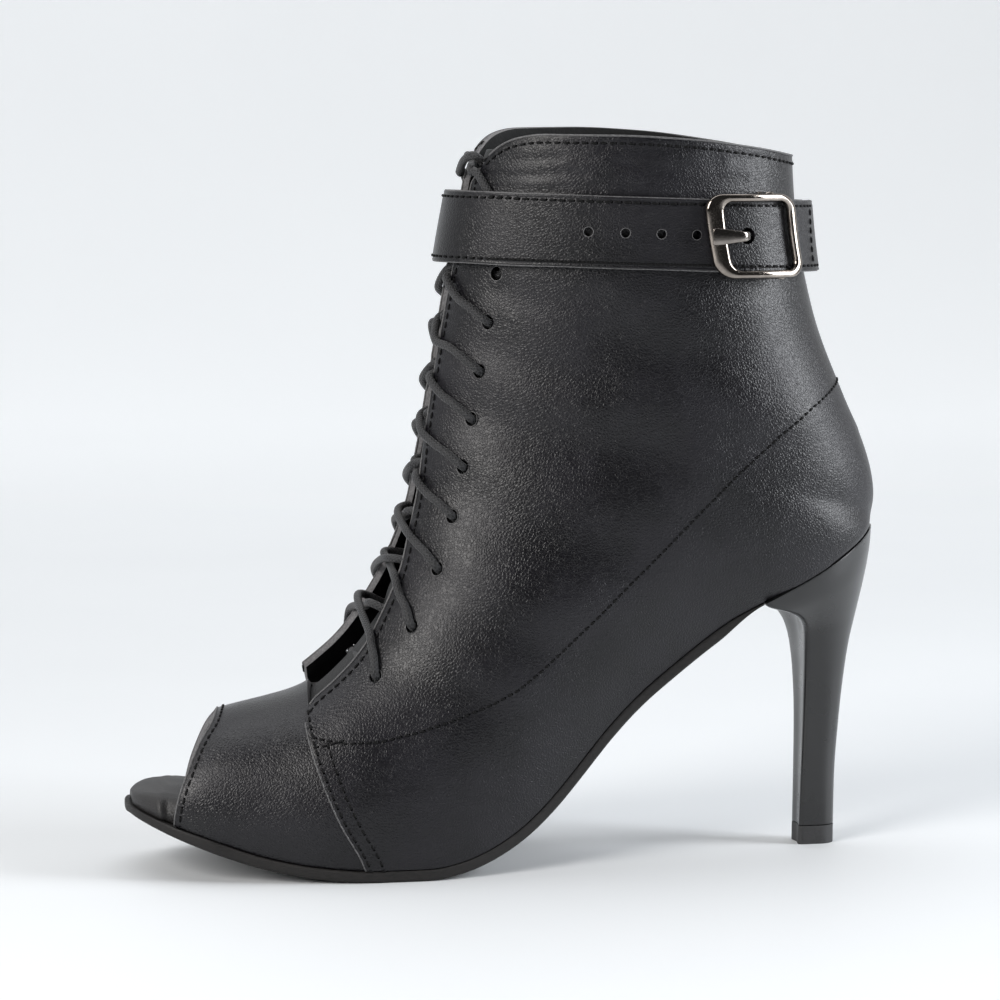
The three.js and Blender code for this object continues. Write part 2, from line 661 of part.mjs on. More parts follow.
// The insole's padded edge: in is millimetres in from its side and up is a share of its thickness
const INSOLE_EDGE = [
  { in: 0.6, up: 0 },
  { in: 0, up: 0.3 },
  { in: 0.4, up: 0.68 },
  { in: 1.8, up: 0.92 },
  { in: 4.2, up: 1 },
];
const INSOLE_START = 0.003;
const INSOLE_END = 0.975;
const INSIDE_UPPER = 0.045;       // ahead of this share of the length the insole lies in the toe opening
const INSOLE_THIN_SHARE = 0.4;    // it thins out by this share behind the ball

function insoleThickness(along) {
  const thin = 1 - INSOLE_THIN_SHARE * ease(0.25, 0.6, along);
  const roundedToe = Math.sqrt(ease(-0.03, 0.04, along));
  return INSOLE_THICKNESS * thin * roundedToe;
}

function makeInsole() {
  const ringAt = (along) => {
    const inside = ease(INSIDE_UPPER - 0.012, INSIDE_UPPER, along);
    const inset = FIT + (WALL + 2 * FIT) * inside;
    const seat = bottomHeight(along) + FIT * slopeFactor(along);
    const side = (sign) => INSOLE_EDGE.map((row) => {
      const half = Math.max(0.6, planWidth(along, sign) - inset - row.in);
      return new THREE.Vector3(alongToX(along), sign * half, seat + insoleThickness(along) * row.up);
    });
    return [...side(-1), ...side(1).reverse()];
  };
  return plate(INSOLE_START, INSOLE_END, 26, ringAt);
}

// Heel and its rubber top piece

const heelLow = column(HEEL_SLICES, 'low', 'high');
const heelFront = column(HEEL_SLICES, 'front', 'high');
const heelBack = column(HEEL_SLICES, 'back', 'high');
const heelWidth = column(HEEL_SLICES, 'width', 'high');

// One slice of the heel: a round back, nearly flat sides and a hollow breast
function heelRing(backHeight) {
  const high = backHeight / SEAT_HEIGHT;
  const front = BREAST_X + heelFront(high) * HEEL_REACH;
  const back = HEEL_BACK_X + heelBack(high) * HEEL_RAKE;
  const half = heelWidth(high) * STEM_WIDTH / 2;
  const round = Math.min(half * 1.05, (back - front) * 0.72);
  const corner = Math.min(1.4, half * 0.2);
  const hollow = 0.6 + 3 * ease(0.6, 0.9, high);
  const ring = [];
  for (const angle of steps(-Math.PI / 2, Math.PI / 2, 12)) {
    ring.push([back - round + round * Math.cos(angle), half * Math.sin(angle)]);
  }
  ring.push([front + corner, half * 0.985], [front, half - corner], [front + hollow * 0.8, half * 0.45]);
  ring.push([front + hollow * 0.7, 0]);
  ring.push([front + hollow * 0.8, -half * 0.45], [front, corner - half], [front + corner, -half * 0.985]);
  const breastHeight = high > 0.5 ? heelLow(high) * SEAT_HEIGHT : backHeight;
  const slope = (backHeight - breastHeight) / (back - front);
  return ring.map(([x, y]) => new THREE.Vector3(x, y, backHeight - (back - x) * slope));
}

function makeHeel() {
  const levels = [TIP_HEIGHT + FIT, ...HEEL_SLICES.slice(1).map((row) => row.high * SEAT_HEIGHT)];
  const body = loft(levels.map(heelRing));
  const seat = underSole(-FIT);
  const soleEnd = alongToX(SOLE_END) + FIT;
  const underShank = sideBlock([
    [AHEAD, UNDERGROUND], [soleEnd, UNDERGROUND], [soleEnd, OVERHEAD], [AHEAD, OVERHEAD],
  ]);
  return body.intersect(seat).subtract(underShank);
}

function makeHeelTip() {
  return loft([0, 0.6, TIP_HEIGHT].map(heelRing));
}

// Lacing: one crossing above each pair of lace holes, in front of the throat

function roundCord(points, diameter, sides = 5) {
  const curve = new THREE.CatmullRomCurve3(points);
  const shape = new THREE.Shape();
  for (let i = 0; i < sides; i += 1) {
    const angle = i / sides * 2 * Math.PI;
    const place = [diameter / 2 * Math.cos(angle), diameter / 2 * Math.sin(angle)];
    if (i === 0) shape.moveTo(...place);
    else shape.lineTo(...place);
  }
  return solidFrom(new THREE.ExtrudeGeometry(shape, { steps: points.length + 1, extrudePath: curve }));
}

const LACE_PATH = { start: 0.08, rise: 0.3, edge: 0.5, across: 0.7, beyond: 0.84 };
const TOP_LACE_PATH = { start: 0.7, rise: 0.76, edge: 0.84, across: 1, beyond: 1.1 };

// From beside its lace hole over the edge of the facing, across the throat to the other edge. Shares
// are of the way from one pair of holes to the next, and near is how close to its hole it starts.
function laceStrand(v, next, side, path, near) {
  const rest = LACE_DIAMETER / 2 + 2 * FIT;
  const over = (share, turn) => {
    const at = v + (next - v) * share;
    return shellPoint(at, side * turn(at), quarterOffset(at, side * turn(at)) + rest);
  };
  const between = (at, share) => gapTurn(at, 0) + (eyeletTurn(at) - gapTurn(at, 0)) * share;
  const across = v + (next - v) * path.across;
  const beyond = v + (next - v) * path.beyond;
  const half = section.gap(beyond) * BALL_WIDTH;
  const level = (at) => (quarterOffset(at, -gapTurn(at, 0)) + quarterOffset(at, gapTurn(at, 0))) / 2;
  const middle = shellPoint(across, 0, level(across) + rest);
  const end = shellPoint(beyond, 0, level(beyond) + rest * 0.6);
  end.y = -side * (half - LACE_DIAMETER / 2 - 2 * FIT);
  return roundCord([
    over(path.start, (at) => between(at, near)),
    over(path.rise, (at) => between(at, near / 2)),
    over(path.edge, (at) => gapTurn(at, 1)),
    middle,
    end,
  ], LACE_DIAMETER);
}

function makeLaceCross(row, path = LACE_PATH, near = 0.88) {
  const v = eyeletSections[row];
  const next = eyeletSection(row + 1);
  return laceStrand(v, next, -1, path, near).add(laceStrand(v, next, 1, path, near));
}

// Ankle strap: it starts folded round the buckle's pivot, runs back round the heel side, along the
// inner side and the front, and comes back through the buckle over its own start

function shaftSection(z, u) {
  let low = BACK_SECTION;
  let high = LAST_SECTION;
  for (let i = 0; i < 30; i += 1) {
    const middle = (low + high) / 2;
    if (lastPoint(middle, u).z < z) low = middle;
    else high = middle;
  }
  return (low + high) / 2;
}

// A place on the shaft at one height: turn runs from 0 at the back over the lateral side, and past 1
// from the back over the medial side and the front to the lateral side again
function strapTurn(turn) {
  return turn <= 1 ? -turn : 2 - turn;
}

function strapHeight(u) {
  return STRAP_HEIGHT + STRAP_RISE * Math.cos(u * Math.PI / 2) ** 2;
}

function strapPoint(turn, up, offset) {
  const u = strapTurn(turn);
  const z = strapHeight(u) + up;
  const v = shaftSection(z, u);
  const outward = lastNormal(v, u).setZ(0).normalize();
  return lastPoint(v, u).setZ(z).addScaledVector(outward, OVERLAP_STEP + offset);
}

const STRAP_END_TURN = 2.93;
const STRAP_REST = 0.45;          // the strap lies this far off the leather
const PIVOT_X = BUCKLE_X + 6.4;
const OVERLAP_FROM = 2.56;        // turns between which the strap climbs over its own start
const OVERLAP_TO = 2.74;

function strapStandoff(turn) {
  const front = STRAP_FRONT_GAP * (1 - ease(0.02, 0.34, Math.abs(turn - 2)));
  const overItself = (STRAP_THICKNESS + 2 * FIT) * ease(OVERLAP_FROM, OVERLAP_TO, turn);
  return STRAP_REST + Math.max(front, overItself);
}

function makeStrap() {
  const half = STRAP_WIDTH / 2;
  const start = strapTurnAt(PIVOT_X + PIVOT_DIAMETER / 2 + 2 * FIT) - 2;
  const rings = steps(start, STRAP_END_TURN, 50).map((turn) => {
    const inner = strapStandoff(turn);
    const outer = inner + STRAP_THICKNESS;
    return [
      strapPoint(turn, -half, inner),
      strapPoint(turn, half, inner),
      strapPoint(turn, half, outer),
      strapPoint(turn, -half, outer),
    ];
  });
  let strap = loft(rings);
  strap = strap.subtract(strapHolePin(0, PRONG_HOLE));
  for (let i = 1; i <= STRAP_HOLES; i += 1) strap = strap.subtract(strapHolePin(i, STRAP_HOLE));
  return strap;
}

// Turn on the lateral side where the strap's outer face lies at a given x
function strapTurnAt(x) {
  let low = 2.1;
  let high = 2.99;
  for (let i = 0; i < 30; i += 1) {
    const middle = (low + high) / 2;
    if (strapPoint(middle, 0, strapStandoff(middle) + STRAP_THICKNESS).x < x) low = middle;
    else high = middle;
  }
  return (low + high) / 2;
}

function outwardAt(turn) {
  return strapPoint(turn, 0, 1).sub(strapPoint(turn, 0, 0)).normalize();
}

const PRONG_HOLE_X = BUCKLE_X - 1.4;

function strapHolePin(index, diameter) {
  const ahead = index === 0 ? 0 : FIRST_FREE_HOLE + (index - 1) * STRAP_HOLE_PITCH;
  const turn = strapTurnAt(PRONG_HOLE_X - ahead);
  const point = strapPoint(turn, 0, strapStandoff(turn) + STRAP_THICKNESS / 2);
  return pinAt(point, outwardAt(turn), diameter, STRAP_THICKNESS * 1.6);
}

// Buckle: a rounded frame bent to the shaft, a hidden pivot bar and a prong

function framePoint(x, z, offset) {
  const turn = strapTurnAt(x);
  const rise = z - strapHeight(strapTurn(turn));
  return strapPoint(turn, rise, strapStandoff(turn) + STRAP_THICKNESS + 2 * FIT + offset);
}

function frameOutline(length, height, radius, points) {
  const outline = [];
  for (const [sx, sz, start] of [[1, 1, 0], [-1, 1, 90], [-1, -1, 180], [1, -1, 270]]) {
    for (const share of steps(0, 1, points)) {
      const angle = (start + share * 90) * Math.PI / 180;
      outline.push([
        sx * (length / 2 - radius) + radius * Math.cos(angle),
        sz * (height / 2 - radius) + radius * Math.sin(angle),
      ]);
    }
    const run = length / 2 - radius;
    const level = Math.sign(start < 180 ? 1 : -1) * height / 2;
    if (start === 0 || start === 180) {
      for (const share of [0.25, 0.5, 0.75]) outline.push([sx * run * (1 - 2 * share), level]);
    }
  }
  return outline;
}

const BUCKLE_CORNER = 5;
const BUCKLE_DEPTH = BUCKLE_BAR * 0.9;

function makeBuckleFrame() {
  const middle = strapHeight(strapTurn(strapTurnAt(BUCKLE_X)));
  const openLength = BUCKLE_LENGTH - BUCKLE_BAR - BUCKLE_FRONT_BAR;
  const openHeight = BUCKLE_HEIGHT - 2 * BUCKLE_BAR;
  const openShift = (BUCKLE_FRONT_BAR - BUCKLE_BAR) / 2;
  const outerLine = frameOutline(BUCKLE_LENGTH, BUCKLE_HEIGHT, BUCKLE_CORNER, 3);
  const innerLine = frameOutline(openLength, openHeight, BUCKLE_CORNER - BUCKLE_BAR, 3);
  const rings = outerLine.map(([x, z], i) => {
    const [ix, iz] = innerLine[i];
    const outer = (offset) => framePoint(BUCKLE_X + x, middle + z, offset);
    const inner = (offset) => framePoint(BUCKLE_X + ix + openShift, middle + iz, offset);
    return [outer(0), inner(0), inner(BUCKLE_DEPTH), outer(BUCKLE_DEPTH)];
  });
  let frame = closedLoop(rings);
  for (const pin of pivotPins(middle)) frame = frame.add(pin);
  return frame;
}

// The pivot passes under the strap, and its two ends reach out to the frame
function pivotPins(middle) {
  const turn = strapTurnAt(PIVOT_X);
  const outward = outwardAt(turn);
  const depth = STRAP_REST + PIVOT_DIAMETER / 2;
  const up = STRAP_WIDTH / 2 + FIT + PIVOT_DIAMETER / 2;
  const reach = strapStandoff(turn) + STRAP_THICKNESS + 2 * FIT + BUCKLE_BAR / 2 - depth;
  const ends = [-1, 1].map((side) => {
    const inner = strapPoint(turn, side * up + middle - strapHeight(strapTurn(turn)), depth);
    const middleOfArm = inner.clone().addScaledVector(outward, reach / 2);
    return { inner, arm: pinAt(middleOfArm, outward, PIVOT_DIAMETER, reach) };
  });
  const [low, high] = ends.map((end) => end.inner);
  const axis = high.clone().sub(low);
  const middleOfBar = low.clone().add(high).divideScalar(2);
  const bar = pinAt(middleOfBar, axis.clone().normalize(), PIVOT_DIAMETER, axis.length() + 1);
  return [bar, ...ends.map((end) => end.arm)];
}

// The prong comes up through the strap's hole and lies over the frame's front bar
function makeProng() {
  const middle = strapHeight(strapTurn(strapTurnAt(BUCKLE_X)));
  const under = -STRAP_THICKNESS - 2 * FIT;
  const over = BUCKLE_DEPTH + PRONG_WIDTH / 2 + FIT;
  const path = [
    [PIVOT_X - 2.6, under - PRONG_WIDTH / 2 - 0.2],
    [PRONG_HOLE_X + 2, under - PRONG_WIDTH / 2 - 0.1],
    [PRONG_HOLE_X + 0.2, under + 0.6],
    [PRONG_HOLE_X - 0.6, 0.6],
    [PRONG_HOLE_X - 2.6, over],
    [BUCKLE_X - BUCKLE_LENGTH / 2 + BUCKLE_FRONT_BAR / 2, over],
    [BUCKLE_X - BUCKLE_LENGTH / 2 + 0.8, over - 0.1],
  ];
  return roundCord(path.map(([x, offset]) => framePoint(x, middle, offset)), PRONG_WIDTH, 6);
}

// A closed ring of sections, with no ends
function closedLoop(rings) {
  const count = rings[0].length;
  const points = rings.flat();
  const faces = [];
  for (let i = 0; i < rings.length; i += 1) {
    const next = (i + 1) % rings.length;
    for (let j = 0; j < count; j += 1) {
      const k = (j + 1) % count;
      faces.push([i * count + j, i * count + k, next * count + k]);
      faces.push([i * count + j, next * count + k, next * count + j]);
    }
  }
  const outward = signedVolume(points, faces) > 0;
  const geometry = new THREE.BufferGeometry();
  geometry.setFromPoints(points);
  geometry.setIndex(faces.flatMap(([a, b, c]) => (outward ? [a, b, c] : [a, c, b])));
  return solidFrom(geometry);
}

// The boot

function leather(color, roughness) {
  return new THREE.MeshStandardMaterial({ color, roughness, metalness: 0 });
}

function piece(name, solid, material) {
  const mesh = new THREE.Mesh(geometryFrom(solid), material);
  mesh.name = name;
  return mesh;
}

const boot = new THREE.Group();
boot.add(piece('upper', makeUpper(), leather(0x1a191c, 0.45)));
boot.add(piece('tongue', makeTongue(), leather(0x151416, 0.6)));
boot.add(piece('insole', makeInsole(), leather(0x1b1a1b, 0.55)));
boot.add(piece('outsole', makeOutsole(), leather(0x201c1b, 0.7)));
boot.add(piece('heel', makeHeel(), leather(0x222326, 0.4)));
boot.add(piece('heel_top_piece', makeHeelTip(), leather(0x2b2b2c, 0.8)));
for (let row = 0; row < EYELET_ROWS - 2; row += 1) {
  boot.add(piece(`lace_cross_${row + 1}`, makeLaceCross(row), leather(0x2a2a2c, 0.9)));
}
const topCross = makeLaceCross(EYELET_ROWS - 1, TOP_LACE_PATH, 0.3);
boot.add(piece('lace_cross_top', topCross, leather(0x2a2a2c, 0.9)));
boot.add(piece('ankle_strap', makeStrap(), leather(0x1a191c, 0.45)));
const metal = new THREE.MeshStandardMaterial({ color: 0x77757a, roughness: 0.2, metalness: 1 });
boot.add(piece('buckle_frame', makeBuckleFrame(), metal));
boot.add(piece('buckle_prong', makeProng(), metal));

export default boot;
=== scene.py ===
# %% [markdown]
# A black leather ankle boot with an open toe, a laced front, a thin high heel and a buckled strap.
# Everything here is built round a fixed frame: the maker's solids, at their real size, with the toe
# towards -X, the outer side towards -Y and the floor at Z = 0. The frame comes first, so that each
# piece made later goes straight to its place.

# %% Load the frame
import math

import bmesh
import bpy
import numpy as np
from mathutils import Matrix, Vector
from mathutils.bvhtree import BVHTree


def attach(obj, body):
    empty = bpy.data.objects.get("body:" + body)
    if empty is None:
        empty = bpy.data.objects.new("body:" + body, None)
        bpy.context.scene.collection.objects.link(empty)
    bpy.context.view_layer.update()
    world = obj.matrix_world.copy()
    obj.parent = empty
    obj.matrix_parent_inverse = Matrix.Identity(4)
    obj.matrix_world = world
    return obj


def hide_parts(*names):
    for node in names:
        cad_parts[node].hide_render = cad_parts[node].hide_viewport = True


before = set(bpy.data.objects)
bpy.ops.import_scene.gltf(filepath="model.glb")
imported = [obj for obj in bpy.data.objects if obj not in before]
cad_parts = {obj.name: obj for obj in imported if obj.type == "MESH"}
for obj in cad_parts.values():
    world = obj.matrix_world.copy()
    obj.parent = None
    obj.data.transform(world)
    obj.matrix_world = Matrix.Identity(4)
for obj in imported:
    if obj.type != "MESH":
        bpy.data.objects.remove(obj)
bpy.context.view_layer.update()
MM = 0.001

# %% [markdown]
# The camera stands where the photographer stood: a metre away, turned ten degrees towards the toe and
# a little above the boot. A long lens keeps the sides nearly parallel. A camera looks along its own
# -Z, so its turn is built from the direction that points back from the boot to the lens.

# %% Camera
VIEW_TURN = math.radians(-10)
VIEW_RISE = math.radians(6)
VIEW_DISTANCE = 1.0
VIEW_TARGET = Vector((0.0342, 0.0, 0.1022))
LENS_MM = 126


def view_back():
    """The direction from the boot to the camera."""
    level = math.cos(VIEW_RISE)
    return Vector((math.sin(VIEW_TURN) * level, -math.cos(VIEW_TURN) * level, math.sin(VIEW_RISE)))


def make_camera():
    data = bpy.data.cameras.new("camera")
    data.lens = LENS_MM
    data.sensor_width = 36
    data.clip_start = 0.05
    camera = bpy.data.objects.new("camera", data)
    bpy.context.scene.collection.objects.link(camera)
    camera.location = VIEW_TARGET + view_back() * VIEW_DISTANCE
    camera.rotation_mode = "QUATERNION"
    camera.rotation_quaternion = (-view_back()).to_track_quat("-Z", "Y")
    bpy.context.scene.camera = camera
    return camera


camera = make_camera()
print("camera at", [round(c, 3) for c in camera.location])

# %% [markdown]
# A shoe is made on a last, a solid form with the shape of the foot. The same few sizes and short
# tables that the maker's solids use are kept here, in millimetres, so that every panel can be laid on
# the same last. Each row is one section of the fan that runs from the toe up to the collar.

# %% Sizes of the last
LAST_LENGTH = 214
TOE_REACH = 72.4
BALL_WIDTH = 73
SEAT_HEIGHT = 94
TOE_SPRING = 15.5
VAMP_HEIGHT = 50
COLLAR_HEIGHT = 207
COLLAR_TILT = math.radians(2.1)
WALL = 1.8
OVERLAP_STEP = 1
SOLE_THICKNESS = 3.2
SOLE_EDGE = 1.2
FIT = 0.3

SECTION_COLUMNS = "base lift front climb gap lateral medial belly crown heel"
SECTIONS = [
    (0.010, 0.000, 0.050, -0.085, 0.240, 0.250, 0.250, 0.25, 2.00, 1.0),
    (0.058, 0.000, 0.095, -0.047, 0.240, 0.345, 0.345, 0.25, 2.00, 1.0),
    (0.115, 0.000, 0.138, -0.031, 0.240, 0.392, 0.390, 0.25, 2.05, 1.0),
    (0.185, 0.000, 0.190, -0.016, 0.240, 0.440, 0.440, 0.25, 2.10, 1.0),
    (0.264, 0.000, 0.236, 0.002, 0.240, 0.486, 0.488, 0.26, 2.10, 1.0),
    (0.348, 0.000, 0.266, 0.038, 0.225, 0.500, 0.490, 0.28, 2.05, 1.0),
    (0.440, 0.000, 0.294, 0.086, 0.200, 0.488, 0.455, 0.33, 2.00, 1.0),
    (0.542, 0.000, 0.320, 0.143, 0.170, 0.472, 0.425, 0.40, 2.00, 1.0),
    (0.653, 0.000, 0.342, 0.207, 0.150, 0.462, 0.415, 0.45, 2.00, 1.0),
    (0.765, 0.000, 0.360, 0.274, 0.125, 0.456, 0.415, 0.47, 2.00, 1.0),
    (0.862, 0.000, 0.376, 0.347, 0.100, 0.450, 0.420, 0.47, 2.00, 1.1),
    (0.941, 0.000, 0.389, 0.424, 0.075, 0.446, 0.425, 0.46, 2.00, 1.5),
    (0.986, 0.000, 0.400, 0.503, 0.060, 0.444, 0.430, 0.45, 2.00, 2.1),
    (1.004, 0.033, 0.409, 0.570, 0.052, 0.443, 0.434, 0.45, 2.00, 2.2),
    (1.007, 0.088, 0.417, 0.630, 0.048, 0.443, 0.436, 0.45, 2.00, 2.2),
    (0.995, 0.186, 0.425, 0.694, 0.050, 0.442, 0.438, 0.45, 2.00, 2.15),
    (0.972, 0.283, 0.433, 0.758, 0.060, 0.441, 0.440, 0.46, 2.00, 2.1),
    (0.942, 0.407, 0.441, 0.822, 0.075, 0.440, 0.440, 0.47, 2.00, 2.1),
    (0.915, 0.558, 0.450, 0.885, 0.090, 0.438, 0.438, 0.48, 2.00, 2.1),
    (0.896, 0.717, 0.458, 0.949, 0.100, 0.436, 0.436, 0.49, 2.00, 2.1),
    (0.887, 0.920, 0.470, 1.019, 0.110, 0.434, 0.434, 0.50, 2.00, 2.1),
    (0.885, 1.060, 0.477, 1.070, 0.110, 0.432, 0.432, 0.50, 2.00, 2.1),
]
LAST_SECTION = len(SECTIONS) - 1
THROAT_SECTION = 4

# Plan of the bottom: share of the length, half widths as shares of the ball width
PLAN_COLUMNS = "along lateral medial"
PLAN = [
    (0.120, 0.376, 0.370), (0.180, 0.420, 0.418), (0.240, 0.458, 0.460), (0.300, 0.482, 0.486),
    (0.370, 0.482, 0.462), (0.430, 0.454, 0.392), (0.500, 0.400, 0.312), (0.560, 0.350, 0.264),
    (0.630, 0.305, 0.240), (0.700, 0.280, 0.245), (0.780, 0.280, 0.275), (0.830, 0.300, 0.308),
    (0.885, 0.330, 0.325),
]

# Side view of the bottom: shares of the toe spring and of the rise to the heel seat
PROFILE_COLUMNS = "along toe heel"
PROFILE = [
    (0.000, 1.00, 0.000), (0.050, 0.77, 0.000), (0.090, 0.59, 0.000), (0.125, 0.41, 0.000),
    (0.160, 0.26, 0.000), (0.195, 0.15, 0.000), (0.245, 0.05, 0.000), (0.296, 0.00, 0.000),
    (0.380, 0.00, 0.000), (0.420, 0.00, 0.015), (0.460, 0.00, 0.048), (0.503, 0.00, 0.106),
    (0.540, 0.00, 0.180), (0.580, 0.00, 0.282), (0.620, 0.00, 0.390), (0.660, 0.00, 0.484),
    (0.705, 0.00, 0.572), (0.750, 0.00, 0.655), (0.790, 0.00, 0.722), (0.833, 0.00, 0.778),
    (0.880, 0.00, 0.834), (0.920, 0.00, 0.885), (0.955, 0.00, 0.932), (1.000, 0.00, 1.000),
]

# Edges seen from the side: share of the length, share of the collar height
CUT_TURN = math.radians(8)    # the first two are cut further back on the inner side
TOE_OPENING = [(0.066, 0.030), (0.068, 0.078), (0.075, 0.115), (0.088, 0.153), (0.103, 0.186),
               (0.115, 0.203), (0.120, 0.218), (0.128, 0.270)]
QUARTER_EDGE = [(0.328, -0.050), (0.315, 0.020), (0.284, 0.080), (0.259, 0.140), (0.240, 0.200),
                (0.231, 0.260), (0.230, 0.450)]
COLLAR = [(0.300, 0.900), (0.440, 0.907), (0.455, 0.932), (0.466, 0.960), (0.481, 0.980),
          (0.503, 0.994), (0.535, 1.000), (0.620, 1.000), (0.720, 0.995), (0.820, 0.982),
          (0.900, 0.966), (1.050, 0.940)]
VAMP_UNDERLAP = 0.042
print("sections of the last:", len(SECTIONS))

# %% [markdown]
# Between its rows a table has to run smoothly, or the leather would show a ridge at each section. The
# curve used here never overshoots its rows. It is then softened a little, as a last is sanded, which
# keeps the highlights on the leather even.

# %% Smooth curves from the tables
FINE_STEPS = 1200


def soften(values, spread):
    """Evens out a finely sampled curve, keeping its two ends in place."""
    reach = int(3 * spread)
    if reach < 1:
        return values
    kernel = np.exp(-0.5 * (np.arange(-reach, reach + 1) / spread) ** 2)
    before = 2 * values[0] - values[reach:0:-1]
    after = 2 * values[-1] - values[-2:-reach - 2:-1]
    return np.convolve(np.concatenate([before, values, after]), kernel / kernel.sum(), "valid")


def smooth_curve(xs, ys, softness=0.012):
    """A function through the points, from a fine table, softened over a share of its range."""
    xs, ys = np.asarray(xs, float), np.asarray(ys, float)
    steps = np.diff(xs)
    grades = np.diff(ys) / steps
    slopes = np.concatenate([grades[:1], np.zeros(len(xs) - 2), grades[-1:]])
    product = grades[:-1] * grades[1:]
    same_way = product > 0
    total = np.where(same_way, grades[:-1] + grades[1:], 1)
    slopes[1:-1] = np.where(same_way, 2 * product / total, 0)
    fine = np.linspace(xs[0], xs[-1], FINE_STEPS + 1)
    i = np.clip(np.searchsorted(xs, fine, side="right") - 1, 0, len(xs) - 2)
    s = (fine - xs[i]) / steps[i]
    rise = (2 * s ** 3 - 3 * s ** 2 + 1) * ys[i] + (3 * s ** 2 - 2 * s ** 3) * ys[i + 1]
    bend = (s ** 3 - 2 * s ** 2 + s) * slopes[i] + (s ** 3 - s ** 2) * slopes[i + 1]
    values = soften(rise + bend * steps[i], softness * FINE_STEPS)
    return lambda x: np.interp(x, fine, values)


def table_curves(rows, names, key=None, softness=0.012):
    """One smooth function for each named column."""
    columns = dict(zip(names.split(), np.array(rows, float).T))
    xs = columns[key] if key else np.arange(len(rows))
    return {name: smooth_curve(xs, ys, softness) for name, ys in columns.items() if name != key}


section = table_curves(SECTIONS, SECTION_COLUMNS, softness=0.017)
plan = table_curves(PLAN, PLAN_COLUMNS, "along", 0.02)
profile = table_curves(PROFILE, PROFILE_COLUMNS, "along", 0.01)
toe_edge_x = smooth_curve([h * COLLAR_HEIGHT for _, h in TOE_OPENING],
                          [a * LAST_LENGTH - TOE_REACH for a, _ in TOE_OPENING], 0.02)
quarter_edge_x = smooth_curve([h * COLLAR_HEIGHT for _, h in QUARTER_EDGE],
                              [a * LAST_LENGTH - TOE_REACH for a, _ in QUARTER_EDGE], 0.02)
collar_z = smooth_curve([a * LAST_LENGTH - TOE_REACH for a, _ in COLLAR],
                        [h * COLLAR_HEIGHT for _, h in COLLAR], 0.008)
print("widest plan half width in mm:", round(float(plan["lateral"](0.33)) * BALL_WIDTH, 1))

# %% [markdown]
# The last itself is a function of two numbers: v says which section, and u runs round it from the
# outer edge of the sole (-1) over the front (0) to the inner edge (1). All panels are grids whose
# points are put on this surface, so neighbouring panels always meet.

# %% The last as a surface
TOE_CAP = PLAN[0][0]
HEEL_CAP = PLAN[-1][0]
FRONT_SHARE = 0.56
NORMAL_STEP = 0.03


def ease(low, high, value):
    x = np.clip((np.asarray(value, float) - low) / (high - low), 0, 1)
    return x * x * (3 - 2 * x)


def along_to_x(along):
    return np.asarray(along) * LAST_LENGTH - TOE_REACH


def x_to_along(x):
    return (np.asarray(x) + TOE_REACH) / LAST_LENGTH


def plan_width(along, side, margin=0.0):
    """Half width of the last's bottom on one side, grown by an even margin."""
    grown = margin / LAST_LENGTH
    share = np.where(np.asarray(side) < 0, plan["lateral"](along), plan["medial"](along))
    toe = (TOE_CAP - along) / (TOE_CAP + grown)
    heel = (along - HEEL_CAP) / (1 - HEEL_CAP + grown)
    past = np.maximum(np.maximum(toe, heel), 0)
    return (share * BALL_WIDTH + margin) * np.sqrt(np.maximum(0, 1 - past * past))


def bottom_height(along):
    """Height of the last's bottom, which is the top of the sole."""
    share = np.clip(along, 0, 1)
    rise = SEAT_HEIGHT - SOLE_THICKNESS
    return SOLE_THICKNESS + profile["toe"](share) * TOE_SPRING + profile["heel"](share) * rise


def on_sole(v):
    return 1 - ease(0.012, 0.04, section["lift"](v))


def base_and_front(v):
    """The two ends of a section's middle line, side view, as x and z arrays."""
    along = section["base"](v)
    ground = bottom_height(along)
    start = ground + (SEAT_HEIGHT - ground) * (1 - on_sole(v))
    base = np.stack([along_to_x(along), start + section["lift"](v) * (COLLAR_HEIGHT - SEAT_HEIGHT)])
    height = VAMP_HEIGHT + section["climb"](v) * (COLLAR_HEIGHT - VAMP_HEIGHT)
    return base, np.stack([along_to_x(section["front"](v)), height])


print("heel seat in mm:", round(float(bottom_height(1.0)), 1))

# %% [markdown]
# A section starts at the sole's edge, rises to its widest place and closes over the front. Two rounded
# curves make it, one below and one above the widest place. The outward direction at any point comes
# from its neighbours, and a panel's thickness is measured along it.

# %% Points and directions on the last
def last_point(v, u):
    v, u = np.broadcast_arrays(np.asarray(v, float), np.asarray(u, float))
    side = np.where(u < 0, -1.0, 1.0)
    turn = np.abs(u)
    belly = section["belly"](v)
    widest = np.where(side < 0, section["lateral"](v), section["medial"](v)) * BALL_WIDTH
    angle = np.clip(turn / FRONT_SHARE, 0, 1) * np.pi / 2
    crown = 2 / section["crown"](v)
    front_share = belly + (1 - belly) * np.maximum(np.cos(angle), 0) ** crown
    front_width = widest * np.sin(angle) ** crown
    down = np.sin(np.clip((turn - FRONT_SHARE) / (1 - FRONT_SHARE), 0, 1) * np.pi / 2)
    foot = plan_width(section["base"](v), side) * on_sole(v)
    back_width = foot + (widest - foot) * np.maximum(0, 1 - down ** 2) ** (1 / section["heel"](v))
    in_front = turn <= FRONT_SHARE
    share = np.where(in_front, front_share, belly * (1 - down))
    width = np.where(in_front, front_width, back_width)
    base, front = base_and_front(v)
    x, z = base + (front - base) * share
    return np.stack([x, side * width, z], -1)


def unit(vectors):
    return vectors / np.maximum(np.linalg.norm(vectors, axis=-1, keepdims=True), 1e-9)


